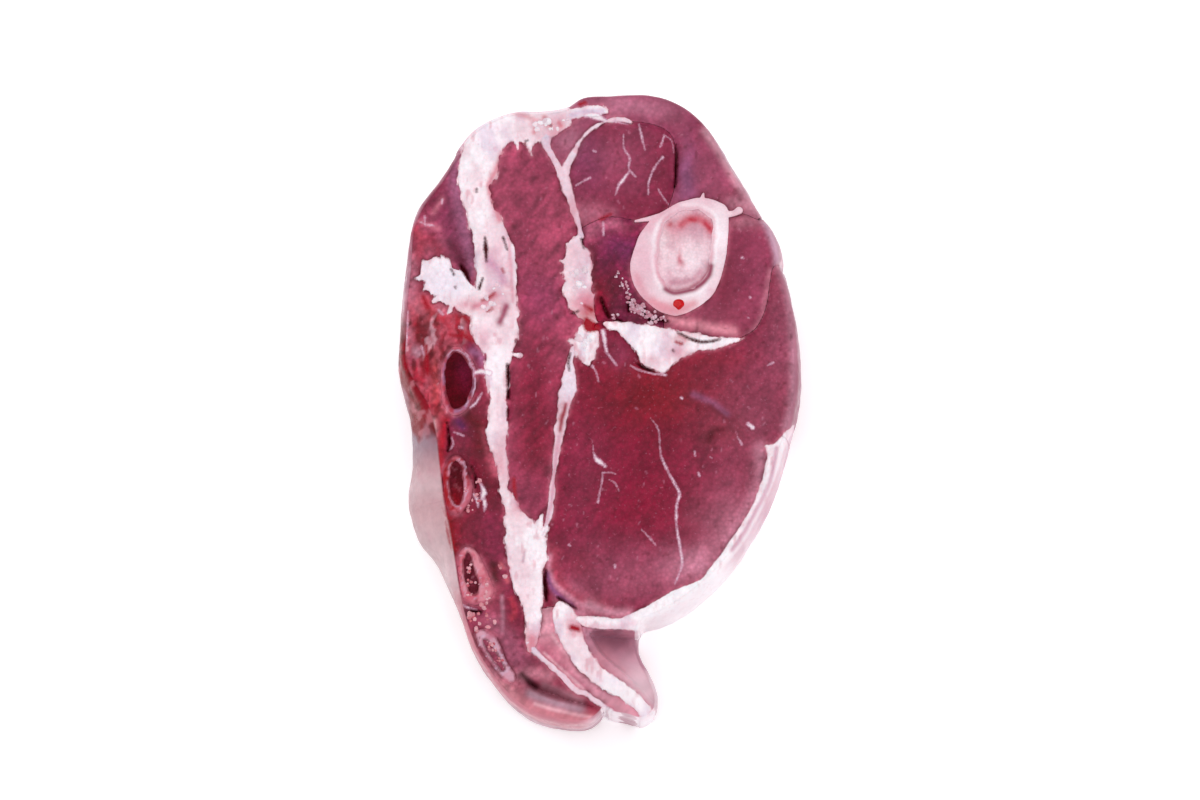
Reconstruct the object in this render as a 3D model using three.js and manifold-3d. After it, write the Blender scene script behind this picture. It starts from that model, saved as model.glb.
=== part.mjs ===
// A raw bone-in veal shoulder, sawn flat above and below and lying on its lower cut face.
// Millimetres, +Z up. +Y points to the end with the arm bone, -X to the ribs.
import * as THREE from 'three';
import { mergeVertices } from 'three/addons/utils/BufferGeometryUtils.js';
import Module from 'manifold-3d';

const wasm = await Module();
wasm.setup();

// Driving dimensions
const THICK = 60; // between the two sawn faces
const GAP = 0.3; // clearance that neighbouring pieces keep
const RIM_STEP = 6; // spacing of the points along the outer wall
const SEAM_STEP = 4.5; // and along the seams and bones
const RIB_STEP = 5.5;
const SLIT = 0.5; // half width of a slit between two muscles
const UNDER = -1; // cutting shapes reach from here
const OVER = THICK + 8; // to here
const RIB_LEVELS = [UNDER, 14, 30, 46, OVER];
const WALL_LEVELS = [
  { z: 0, inset: 2 }, { z: 3, inset: 0.3 }, { z: 14, inset: 0 }, { z: 30, inset: 0 },
  { z: 46, inset: 0 }, { z: 56, inset: 0.2 }, { z: 59, inset: 1.4 }, { z: 63, inset: 5 },
];

// Relief of the upper cut face: the depth of each form, and the block that is cut away above it
const RELIEF = { rest: 0.7, waves: 0.5, chest: 2.2, crags: 1.3, foot: 3, flap: 6.5 };
const SKY = { wide: 220, long: 320, deep: 60, cell: 9 };
const RAISED = { muscle: 0, fat: 0.7, bone: 0.4, marrow: -0.9 }; // above that face

// Outer wall: x, y at the upper cut, and how far the wall swells between the two cuts
const RIM = [
  [6, 147, 2], [22, 147.5, 2], [35, 144, 2], [45, 137, 2.5], [53, 127, 3.5], [59, 114, 5],
  [66, 103.5, 4.5], [71.5, 94.3, 3], [77, 86.5, 2.5], [81, 76.5, 4], [82.5, 66, 4], [85.5, 56, 3],
  [88.5, 42, 3], [90, 26, 3], [90, 10, 3], [87.5, -4, 3], [83.5, -15, 3], [79.5, -28, 3.5],
  [73, -43, 4], [64, -59, 4], [53.5, -72.5, 4], [41, -83.5, 4], [29, -91, 3.5], [19, -96, 1.5],
  [18, -104, 0.5], [19.5, -111, 0.5], [24, -119.5, 0.5], [26.5, -128, 0.5], [25.5, -134.5, 0.5],
  [20, -138.5, 0.5], [12, -136.8, 0.5], [6, -135.8, 0.5], [3, -134, 0], [0.5, -136.5, 0.5],
  [-5, -139.8, 1], [-18, -139.2, 1], [-30, -135.5, 1], [-39, -129, 1], [-47, -120, 1],
  [-54, -109.5, 1], [-59, -97, 1], [-62, -86, 1.5], [-64, -76, 3], [-65.5, -66, 7],
  [-67.5, -54, 14], [-70.5, -40, 15], [-72.5, -24, 12.5], [-74.5, -9, 11], [-78, 3, 9],
  [-83.5, 12, 6.5], [-88, 22, 4], [-88.5, 36, 3], [-87.8, 52, 3], [-86.5, 68, 2.5], [-85.5, 81.5, 2],
  [-81.2, 95, 2], [-74.2, 104.2, 2], [-69.8, 111.2, 2], [-65, 119.2, 2], [-59.5, 127.5, 2], [-51, 134.5, 2],
  [-39, 139, 2], [-26, 139.3, 2], [-14, 141.5, 2], [-7, 146.3, 1],
];

// Bones: x, y round the cut section
const ARM_BONE = [
  [26, 89.7], [31, 93], [38, 96.7], [46, 98.4], [54, 97.2], [59, 93.5], [59.4, 86], [59, 78],
  [57.8, 69], [55.5, 60.5], [51, 52], [44.5, 47], [36.5, 43.6], [29, 45], [21.5, 50.5],
  [16.5, 57.5], [14.5, 65], [16, 73.5], [19.3, 81.5], [23, 86.8],
];
const ARM_MARROW = [
  [31, 87.5], [36, 91.5], [43, 93], [49.5, 91], [52.6, 85], [52, 77], [51, 69], [48.5, 61.5],
  [44, 56.5], [38.5, 54.6], [32, 56], [28, 61.5], [26.5, 69], [27.5, 77], [29, 83],
];
const RIBS = [
  {
    rind: [
      [-65, 30], [-59.5, 27], [-55.8, 20.5], [-54.8, 13], [-56.5, 5.5], [-60.5, -0.5],
      [-65.3, -1.8], [-69.3, 2], [-71, 9.5], [-71.3, 17.5], [-69.5, 25],
    ],
    marrow: [
      [-64.5, 27.2], [-60.6, 24.5], [-57.6, 19], [-56.8, 12.5], [-58.6, 6], [-62, 1.6],
      [-65.5, 1], [-67.8, 5], [-69.2, 12], [-69, 19], [-67.5, 24.5],
    ],
    lean: 4,
  },
  {
    rind: [
      [-64, -19.8], [-60.3, -21.8], [-58.3, -28], [-56.3, -35], [-57.5, -42], [-61.5, -47],
      [-66.5, -46.5], [-69.8, -40], [-70.5, -31], [-68, -23],
    ],
    marrow: [
      [-64, -22.7], [-61.3, -25], [-60.7, -32], [-60.3, -38.5], [-62.6, -43.2], [-65.5, -40.5],
      [-67, -33], [-66.4, -26],
    ],
    lean: 10,
  },
  {
    rind: [
      [-58.5, -61.5], [-54, -64], [-51, -70.5], [-47.5, -76.5], [-46.2, -82], [-50, -87],
      [-56, -87.5], [-60.5, -84.5], [-62.5, -78], [-63, -70], [-61.5, -63.5],
    ],
    marrow: [
      [-58.3, -63.8], [-56.2, -67], [-54.8, -73], [-52.6, -79], [-54.5, -83.5], [-58, -81.5],
      [-60, -75], [-60.2, -68],
    ],
    lean: 3,
  },
  {
    rind: [
      [-54.8, -99.5], [-50, -98.8], [-45, -102], [-42, -109], [-38.8, -115], [-36.2, -120.3],
      [-38, -122.5], [-42.5, -119.7], [-48.5, -112.5], [-53.2, -106],
    ],
    marrow: [
      [-51.5, -102.8], [-47.3, -105], [-44.4, -110.5], [-41, -116.6], [-42.3, -117.4],
      [-46, -112.8], [-49.6, -108],
    ],
    lean: 0,
  },
];

// Fat and membrane seams: x, y, half width along the middle line
const CHEST_FAT = [
  [-19, 136.5, 7], [-26, 135, 9], [-34, 134.5, 10], [-43, 133.7, 10], [-50.5, 128.5, 9.6],
  [-53.2, 120, 9.2], [-54.8, 112, 8.8], [-56.6, 105, 7], [-54.7, 98, 6.5], [-53, 90, 6.8],
  [-49.2, 81, 8.2], [-46.5, 71, 9.1], [-46, 62, 9.2], [-46.5, 52, 9.6], [-47, 43, 10.8],
  [-46.2, 35, 9.8], [-45, 27, 6.4], [-45.8, 18, 5.4], [-45.4, 11, 4.4], [-45.2, 0, 4],
  [-45.4, -12, 4.6], [-44.3, -19, 3.3], [-42.6, -30, 2.1], [-41.8, -37, 2.4],
  [-39.6, -41.5, 2.6], [-37.8, -46, 3.7], [-36.2, -50.5, 5.4], [-33, -58, 8.6],
  [-31.8, -64, 9.2], [-32.3, -70, 8],
  [-31.4, -78, 6.8], [-29.4, -86.5, 5], [-28.8, -96, 3.8], [-29.2, -103, 2.8],
  [-30.3, -107.5, 1.4],
];
const CHEST_FAT_LOBE = [
  [-50, 47, 5.5], [-58, 50.5, 6], [-64, 55, 7.6], [-69.4, 60.2, 8.8], [-75, 64.6, 7],
  [-80, 66, 2.5],
];
const CHEST_FAT_TAIL = [
  [-24, 134, 4.6], [-18, 136, 3.4], [-12, 138, 2.6], [-5, 139.4, 2.3], [0, 139.6, 2.2], [4, 139, 1.2],
];
const NECK_SEAM = [
  [-24, 132.5, 3], [-23.5, 124, 1.8], [-21, 118, 1.4], [-18.5, 113, 1.6],
  [-15.8, 108, 2.5], [-14.2, 103, 2.5], [-12.5, 98, 1.9], [-10.5, 91, 1.6], [-9, 86, 1.2],
  [-7.8, 80, 1],
];
const NECK_BRANCH = [
  [-15.7, 108, 2], [-14, 114, 1.9], [-11.5, 119, 1.3], [-9, 124, 0.8], [-4.5, 129.5, 0.8],
  [0.5, 133, 0.8], [5.5, 134.9, 0.9], [10, 135.4, 0.9], [15, 134.2, 0.7],
];
const CENTRE_FAT = [
  [-7.8, 80.5, 1], [-10, 76.5, 3.6], [-9.4, 71.5, 5.8], [-9.6, 65, 7], [-8, 61, 5.7],
  [-9.2, 55.5, 6.7], [-7.4, 50.5, 6], [-6, 46.5, 5], [-4, 43, 3.6], [-3.4, 38.5, 2.8],
  [-5, 34.2, 5.2], [-5.8, 30.4, 6], [-5.4, 26, 4.4], [-4.2, 22, 1.4],
];
const STRAP_SEAM = [
  [-10.8, 28, 1.2], [-12.7, 22.5, 1.4], [-12.9, 17, 2.5], [-13.1, 12, 3.7], [-14.2, 6.5, 3.4],
  [-15.6, 1, 2.8], [-16.6, -5, 2.4], [-17.3, -10, 2.3], [-18.2, -16, 1.6], [-19.2, -24, 1.1],
  [-20.2, -33, 1.1], [-21, -41, 1.1], [-22, -48, 1.3], [-25, -57, 1],
];
const FLAP_FAT = [
  [-16.5, -88.4, 2.6], [-15, -93, 5.2], [-12.6, -99, 5.4], [-10.3, -105.6, 4.8], [-6.8, -111.4, 4.5],
  [-2.4, -117.2, 3.8], [3, -120.8, 3.7], [9, -124.5, 3.6], [15, -129, 3.6], [20, -134, 3],
  [24, -141, 2.5],
];
const FLAP_SEAM = [
  [-30.5, -104, 1.3], [-28.5, -108, 1.3], [-24, -112, 1.1], [-20, -115.6, 1.1],
  [-16, -119.3, 1.1], [-12, -123.5, 1.2], [-8.5, -126.5, 1], [-5.5, -127, 1], [-1, -130.3, 1.1],
  [4, -133.3, 1.2], [8, -137, 1], [10, -142, 1],
];

// Fat with a free outline: x, y
const SHANK_FAT = [
  [2, 40.2], [12, 40.3], [21, 39.4], [30, 37.9], [40, 36], [50, 34.2], [60, 33.2], [67, 33.8],
  [60, 30.3], [52, 28], [44, 26.6], [38, 24.3], [33.5, 20.8], [30, 16.6], [25, 18.4],
  [19.3, 21.5], [17.6, 26], [14.5, 30.5], [9.5, 34.8],
];
const FAT_COVER = [
  [-13, -93.8], [1, -93.2], [9, -93.9], [16, -91.2], [24, -87], [35, -80.6], [45, -76.6],
  [51, -69.8], [55.4, -64.4], [59.8, -58.2], [64.8, -50.6], [69.8, -41.5], [73.6, -31.5],
  [75.3, -24], [76, -19], [74.8, -15.6], [79, -15.4], [85, -9], [97, -10], [92, -35],
  [80, -58], [62, -80], [40, -96], [18, -99], [8, -98.8], [-2, -98.4],
];

// Slits between muscles that touch without fat: x, y
const SLITS = [
  [
    [13, 135], [22, 134], [28, 132.3], [33, 129], [35.6, 122], [35.4, 112], [34.8, 103], [33, 97],
    [31, 91],
  ],
  [[-8.5, 84], [-3, 87], [3, 89.5], [9, 89.7], [16, 88.4], [26, 88.5]],
  [[57, 92.8], [66, 91.3], [73, 88.6], [88, 83]],
  [[64, 33.2], [70.5, 37], [74, 42], [76.8, 50], [78.3, 60], [80.3, 67], [96, 73]],
  [[30, 48], [29.8, 42], [29.5, 36]],
  [[5, 40.2], [1, 41], [-3, 41.5]],
  [[-28, -90], [-23, -89], [-17, -88]],
  [[-14, -97], [-11, -96], [-8, -96]],
];

// Hollows open upwards: the pocket behind the flap, and the step beside it
const POCKET = [
  [-33, -119], [-29, -120], [-24, -122], [-17, -124.3], [-11, -128], [-6, -129], [0, -132.3],
  [3.5, -135], [-1, -134.8], [-8, -133.6], [-17, -131.5], [-26, -128.5], [-32, -124],
];
const POCKET_DEPTH = 8;
const STEP_EDGE = [
  [-4, -100], [-2.4, -104.3], [0.8, -109.2], [5.4, -113.5], [10.6, -117.7], [15.3, -122.2],
  [20, -127],
  [24, -131.5], [30, -136],
];
const STEP_FAR = [[44, -128], [44, -104], [22, -99.7], [10, -99.4], [2, -99.2]];
const STEP_TOP = 53; // height of the step along the flap
const STEP_FALL = 1.15; // and how steeply it falls away from there

// Muscles: a point inside each
const MUSCLES = [
  { name: 'shoulder_muscle', at: [35, -20], colour: 0x84243a },
  { name: 'strap_muscle', at: [-30, 60], colour: 0x8c3248 },
  { name: 'neck_muscle', at: [10, 112], colour: 0x96465a },
  { name: 'cap_muscle', at: [50, 115], colour: 0x96506a },
  { name: 'inner_muscle', at: [8, 72], colour: 0x6e2a46 },
  { name: 'shank_muscle', at: [68, 60], colour: 0x8c3c50 },
  { name: 'chest_wall', at: [-74, 40], colour: 0x96323c },
  { name: 'flap_muscle', at: [-12, -118], colour: 0xa8506a },
  { name: 'flank_muscle', at: [18, -112], colour: 0xa0788a },
];

const MATERIALS = {
  fat: { color: 0xf2e0e2, roughness: 0.45 },
  bone: { color: 0xead9db, roughness: 0.5 },
  marrow: { color: 0xe6c0c4, roughness: 0.6 },
  blood: { color: 0x5a1420, roughness: 0.35 },
};

// Smooth points along an outline, evenly spaced. The third value is carried along.
function spaced(points, closed, step) {
  const nodes = points.map(([x, y, third = 0]) => new THREE.Vector3(x, y, third));
  const curve = new THREE.CatmullRomCurve3(nodes, closed, 'centripetal');
  curve.arcLengthDivisions = 60 * points.length;
  const row = curve.getSpacedPoints(Math.round(curve.getLength() / step));
  if (closed) row.pop();
  return row;
}

// Counter-clockwise 2-D outline
function outlined(points, step) {
  const row = spaced(points, true, step).map((p) => new THREE.Vector2(p.x, p.y));
  return THREE.ShapeUtils.isClockWise(row) ? row.reverse() : row;
}

// Closed outline of a seam of changing width, grown sideways by extra
function ribbon(points, step, extra = 0) {
  const row = spaced(points, false, step);
  const left = [];
  const right = [];
  row.forEach((p, i) => {
    const ahead = row[Math.min(i + 1, row.length - 1)];
    const behind = row[Math.max(i - 1, 0)];
    const along = new THREE.Vector2(ahead.x - behind.x, ahead.y - behind.y).normalize();
    const side = new THREE.Vector2(-along.y, along.x).multiplyScalar(p.z + extra);
    const middle = new THREE.Vector2(p.x, p.y);
    if (i === 0) middle.addScaledVector(along, -extra);
    if (i === row.length - 1) middle.addScaledVector(along, extra);
    left.push(middle.clone().add(side));
    right.push(middle.clone().sub(side));
  });
  const loop = left.concat(right.reverse());
  return THREE.ShapeUtils.isClockWise(loop) ? loop.reverse() : loop;
}

// Outward normal at each corner, long enough to move both its edges by one unit
function mitres(loop) {
  return loop.map((p, i) => {
    const before = loop[(i + loop.length - 1) % loop.length];
    const after = loop[(i + 1) % loop.length];
    const a = p.clone().sub(before).normalize();
    const b = after.clone().sub(p).normalize();
    const bisector = new THREE.Vector2(a.y + b.y, -a.x - b.x).normalize();
    const cosine = Math.max(bisector.dot(new THREE.Vector2(a.y, -a.x)), 0.5);
    return bisector.divideScalar(cosine);
  });
}

function outset(loop, distance) {
  const normals = mitres(loop);
  return loop.map((p, i) => p.clone().addScaledVector(normals[i], distance));
}

function capOf(ring) {
  return THREE.ShapeUtils.triangulateShape(ring.map((p) => new THREE.Vector2(p.x, p.y)), []);
}

// Solid through rings of equally many points, from the lowest ring to the highest
function loft(rings) {
  const count = rings[0].length;
  const last = (rings.length - 1) * count;
  const index = [];
  const places = rings.flat().flatMap((p) => p.toArray());
  for (const [a, b, c] of capOf(rings[0])) index.push(a, c, b);
  for (const [a, b, c] of capOf(rings[rings.length - 1])) index.push(last + a, last + b, last + c);
  for (let level = 0; level < rings.length - 1; level += 1) {
    for (let i = 0; i < count; i += 1) {
      const a = level * count + i;
      const b = level * count + ((i + 1) % count);
      index.push(a, b, b + count, a, b + count, a + count);
    }
  }
  const geometry = new THREE.BufferGeometry();
  geometry.setAttribute('position', new THREE.Float32BufferAttribute(places, 3));
  geometry.setIndex(index);
  return solid(geometry);
}

function solid(geometry) {
  const mesh = new wasm.Mesh({
    numProp: 3,
    vertProperties: new Float32Array(geometry.attributes.position.array),
    triVerts: new Uint32Array(geometry.index.array),
  });
  return new wasm.Manifold(mesh);
}

function prism(loop, low = UNDER, high = OVER) {
  return loft([low, high].map((z) => loop.map((p) => new THREE.Vector3(p.x, p.y, z))));
}

// How far the wall has swelled at a height, from 0 at both cuts to 1 between them
function swell(z) {
  const share = THREE.MathUtils.clamp(z / THICK, 0, 1);
  return Math.sin(Math.PI * share) ** 0.75;
}

// The whole cut of meat, without its inner pieces
function blockSolid() {
  const row = spaced(RIM, true, RIM_STEP).reverse();
  const loop = row.map((p) => new THREE.Vector2(p.x, p.y));
  const normals = mitres(loop);
  return loft(WALL_LEVELS.map(({ z, inset }) => row.map((p, i) => {
    const out = p.z * swell(z) - inset;
    return new THREE.Vector3(p.x + normals[i].x * out, p.y + normals[i].y * out, z);
  })));
}

// Height of the upper cut face: sagging between its muscles, lower at the ribs and the flap
function faceHeight(x, y) {
  const step = THREE.MathUtils.smoothstep;
  const waves = Math.sin(x / 17 + 0.6) * Math.cos(y / 21) + Math.sin((x + y) / 29);
  const crags = Math.sin(x / 4.1) * Math.cos(y / 5.3) * step(-x, 62, 74) * step(y, -6, 8);
  const chest = step(-x, 50, 66);
  const foot = step(-y, 96, 132) * step(-x, 8, 30);
  const flap = step(x - y, 90, 165) * step(-y, 92, 118) * step(x, -30, 0);
  const fallen = RELIEF.chest * chest + RELIEF.foot * foot + RELIEF.flap * flap;
  return THICK - RELIEF.rest + RELIEF.waves * waves + RELIEF.crags * crags - fallen;
}

// Everything above the upper cut face
function skySolid(raise) {
  const [across, along] = [SKY.wide, SKY.long].map((side) => Math.round(side / SKY.cell));
  const box = new THREE.BoxGeometry(SKY.wide, SKY.long, SKY.deep, across, along, 1);
  const at = box.attributes.position;
  for (let i = 0; i < at.count; i += 1) {
    const low = at.getZ(i) < 0;
    at.setZ(i, low ? faceHeight(at.getX(i), at.getY(i)) + raise : THICK + SKY.deep);
  }
  box.deleteAttribute('normal');
  box.deleteAttribute('uv');
  return solid(mergeVertices(box, 0.001));
}

// A rib's outline follows the swelling wall as it goes down
function leaning(loop, lean) {
  return loft(RIB_LEVELS.map((z) => loop.map((p) => new THREE.Vector3(p.x - lean * swell(z), p.y, z))));
}

// The step beside the flap, whose floor falls away from the flap's edge
function stepSolid() {
  const edge = STEP_EDGE.map(([x, y]) => new THREE.Vector3(x, y, STEP_TOP));
  const far = STEP_FAR.map(([x, y]) => {
    const reach = Math.min(...edge.map((p) => Math.hypot(p.x - x, p.y - y)));
    return new THREE.Vector3(x, y, STEP_TOP - STEP_FALL * reach);
  });
  const floor = edge.concat(far);
  return loft([floor, floor.map((p) => new THREE.Vector3(p.x, p.y, OVER))]);
}

function largest(body) {
  return body.decompose().sort((a, b) => b.volume() - a.volume())[0];
}

function holds(body, [x, y]) {
  const corners = [[-1, -1], [1, -1], [1, 1], [-1, 1]];
  const post = prism(corners.map(([i, j]) => new THREE.Vector2(x + i, y + j)), THICK / 3, THICK / 2);
  return body.intersect(post).volume() > 0;
}

function bufferOf(body) {
  const mesh = body.getMesh();
  const geometry = new THREE.BufferGeometry();
  geometry.setAttribute('position', new THREE.BufferAttribute(new Float32Array(mesh.vertProperties), 3));
  geometry.setIndex(new THREE.BufferAttribute(new Uint32Array(mesh.triVerts), 1));
  geometry.computeVertexNormals();
  return geometry;
}

const skies = Object.fromEntries(Object.entries(RAISED).map(([kind, raise]) => [kind, skySolid(raise)]));
const pocket = prism(outlined(POCKET, SEAM_STEP), THICK - POCKET_DEPTH);
const block = blockSolid().subtract(stepSolid()).subtract(pocket);
const shoulder = new THREE.Group();
let taken = null;

function show(name, body, kind, finish) {
  const cut = largest(body.intersect(block).subtract(skies[kind]));
  const mesh = new THREE.Mesh(bufferOf(cut), new THREE.MeshStandardMaterial(finish));
  mesh.name = name;
  shoulder.add(mesh);
}

// Adds a piece that runs through the meat, and keeps its room free of later pieces
function place(name, body, room, kind, finish = MATERIALS[kind]) {
  show(name, taken ? body.subtract(taken) : body, kind, finish);
  taken = taken ? taken.add(room) : room;
}

function placeBone(name, rind, marrow, lean, filling) {
  const marrowRoom = leaning(outset(marrow, GAP), lean);
  place(`${name}_marrow`, leaning(marrow, lean), marrowRoom, 'marrow', MATERIALS[filling]);
  place(name, leaning(rind, lean), leaning(outset(rind, GAP), lean), 'bone');
}

function joined(bodies) {
  return bodies.reduce((a, b) => a.add(b));
}

function placeSeam(name, lines) {
  const run = (extra) => joined(lines.map((line) => prism(ribbon(line, SEAM_STEP, extra))));
  place(name, run(0), run(GAP), 'fat');
}

function placePatch(name, points) {
  const loop = outlined(points, SEAM_STEP);
  place(name, prism(loop), prism(outset(loop, GAP)), 'fat');
}

function placeMuscles() {
  const slits = joined(SLITS.map((line) => prism(ribbon(line, SEAM_STEP, SLIT))));
  const flesh = block.subtract(taken).subtract(slits).decompose();
  for (const { name, at, colour } of MUSCLES) {
    const body = flesh.find((piece) => holds(piece, at));
    show(name, body, 'muscle', { color: colour, roughness: 0.4 });
  }
}

placeBone('arm_bone', outlined(ARM_BONE, SEAM_STEP), outlined(ARM_MARROW, SEAM_STEP), 0, 'marrow');
RIBS.forEach(({ rind, marrow, lean }, i) => {
  placeBone(`rib_${i + 1}`, outlined(rind, RIB_STEP), outlined(marrow, RIB_STEP), lean, 'blood');
});
placeSeam('chest_fat', [CHEST_FAT, CHEST_FAT_LOBE, CHEST_FAT_TAIL]);
placeSeam('centre_fat', [CENTRE_FAT]);
placeSeam('neck_seam', [NECK_SEAM, NECK_BRANCH]);
placeSeam('strap_seam', [STRAP_SEAM]);
placePatch('shank_fat', SHANK_FAT);
placeSeam('flap_fat', [FLAP_FAT]);
placePatch('fat_cover', FAT_COVER);
placeSeam('flap_seam', [FLAP_SEAM]);
placeMuscles();

// The origin is the middle of the lower cut face's box
const middle = new THREE.Box3().setFromObject(shoulder).getCenter(new THREE.Vector3());
shoulder.position.set(-middle.x, -middle.y, 0);

export default shoulder;
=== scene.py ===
import math

import bpy
import numpy as np
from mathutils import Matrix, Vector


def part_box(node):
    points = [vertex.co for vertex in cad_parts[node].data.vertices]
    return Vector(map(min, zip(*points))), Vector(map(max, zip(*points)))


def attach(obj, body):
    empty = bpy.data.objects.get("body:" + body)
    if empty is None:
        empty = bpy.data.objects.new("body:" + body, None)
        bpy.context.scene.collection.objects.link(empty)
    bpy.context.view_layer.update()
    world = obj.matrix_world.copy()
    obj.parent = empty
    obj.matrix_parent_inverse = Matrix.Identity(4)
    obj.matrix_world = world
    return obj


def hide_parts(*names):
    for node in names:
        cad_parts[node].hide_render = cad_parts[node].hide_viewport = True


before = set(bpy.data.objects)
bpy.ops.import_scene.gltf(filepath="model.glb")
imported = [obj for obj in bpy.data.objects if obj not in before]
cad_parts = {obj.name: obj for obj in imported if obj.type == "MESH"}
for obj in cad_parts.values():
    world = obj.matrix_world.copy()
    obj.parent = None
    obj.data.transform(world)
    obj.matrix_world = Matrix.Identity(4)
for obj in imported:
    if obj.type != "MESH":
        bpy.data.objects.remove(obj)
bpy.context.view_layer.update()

# A raw bone-in veal shoulder, sawn flat above and below. Plan places are in millimetres, as x, y on
# the upper cut, and are moved into the frame by where the arm bone's solid lies.

THICK = 60.0                # between the two sawn faces
CELL = 0.6                  # spacing of the lattice that every surface is made on
REACH = 14.0                # how far from a line its distance is known
INSET = 1.6                 # the cut face ends this far inside the outer wall
FILLET = 3.4                # height over which the wall rounds into the cut face
WALL_ROWS = 44              # rows of points down the outer wall
RIM_SLACK = 0.12            # a border this near the rim counts as outer wall
SLIT = 0.08                 # half width of a slit between two muscles
SLIT_REACH = 2.4            # how far from a slit its two sides are told apart
SHARP = math.radians(60)    # edges sharper than this stay sharp
UNDERLAP = 3.0              # how far a muscle runs on below a neighbour
BASE_RISE = 0.35            # muscles end this far above the lower face of fat and bone
LAP = 0.35                  # how far fat runs on into the piece beside it
CORE_LAP = 0.3              # and bone into its marrow
RIND_SET_BACK = 0.4         # bone and marrow stay this far inside the wall of the meat
CORE_SET_BACK = 0.6
FAT_PROUD = 0.35            # fat stands this far out of the wall
SPREAD_ROUNDS = 2000        # enough for a muscle to fill its whole place
CURVE_STEPS = 24            # straight bits between two points of a curve
LINE_STEP = 1.5             # spacing of the rows along seams and outlines
NOISE_CELLS = 32            # random values each way before the noise repeats
NOISE_SHIFT = 500.0         # keeps places positive before they are rounded down
NO_MARK = -3.0              # depth in a mark where there is none
FAR_INSIDE = 9.0            # distance to the fat on a piece that has none beside it

# How far each kind of piece stands above the lean, and how coarse its lumps are
RAISED = {"fat": 0.45, "sinew": 0.3, "bone": 0.35, "rib": 0.05, "marrow": 0.25, "core": -0.25}
COARSE = {"fat": 0.45, "sinew": 0.45, "bone": 0.14, "rib": 0.14, "marrow": 0.3, "core": 0.3}

GRID_X = np.arange(-97.0, 97.0, CELL)
GRID_Y = np.arange(-146.0, 153.0, CELL)
PLAN_X, PLAN_Y = np.meshgrid(GRID_X, GRID_Y)

# Outer wall: x, y at the upper cut, and how far the wall swells between the two cuts
RIM = [
    (6, 147, 2), (22, 147.5, 2), (35, 144, 2), (45, 137, 2.5), (53, 127, 3.5), (59, 114, 5),
    (66, 103.5, 4.5), (71.5, 94.3, 3), (77, 86.5, 2.5), (81, 76.5, 4), (82.5, 66, 4),
    (85.5, 56, 3), (88.5, 42, 3), (90, 26, 3), (90, 10, 3), (87.5, -4, 3), (83.5, -15, 3),
    (79.5, -28, 3.5), (73, -43, 4), (64, -59, 4), (53.5, -72.5, 4), (41, -83.5, 4),
    (29, -91, 3.5), (19, -96, 1.5), (18, -104, 0.5), (19.5, -111, 0.5), (24, -119.5, 0.5),
    (26.5, -128, 0.5), (25.5, -134.5, 0.5), (20, -138.5, 0.5), (12, -136.8, 0.5),
    (6, -135.8, 0.5), (3, -134, 0), (0.5, -136.5, 0.5), (-5, -139.8, 1), (-18, -139.2, 1),
    (-30, -135.5, 1), (-39, -129, 1), (-47, -120, 1), (-54, -109.5, 1), (-59, -97, 1),
    (-62, -86, 1.5), (-64, -76, 3), (-65.5, -66, 7), (-67.5, -54, 14), (-70.5, -40, 15),
    (-72.5, -24, 12.5), (-74.5, -9, 11), (-78, 3, 9), (-83.5, 12, 6.5), (-88, 22, 4),
    (-88.5, 36, 3), (-87.8, 52, 3), (-86.5, 68, 2.5), (-85.5, 81.5, 2), (-81.2, 95, 2),
    (-74.2, 104.2, 2), (-69.8, 111.2, 2), (-65, 119.2, 2), (-59.5, 127.5, 2), (-51, 134.5, 2),
    (-39, 139, 2), (-26, 139.3, 2), (-14, 141.5, 2), (-7, 146.3, 1),
]

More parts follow.
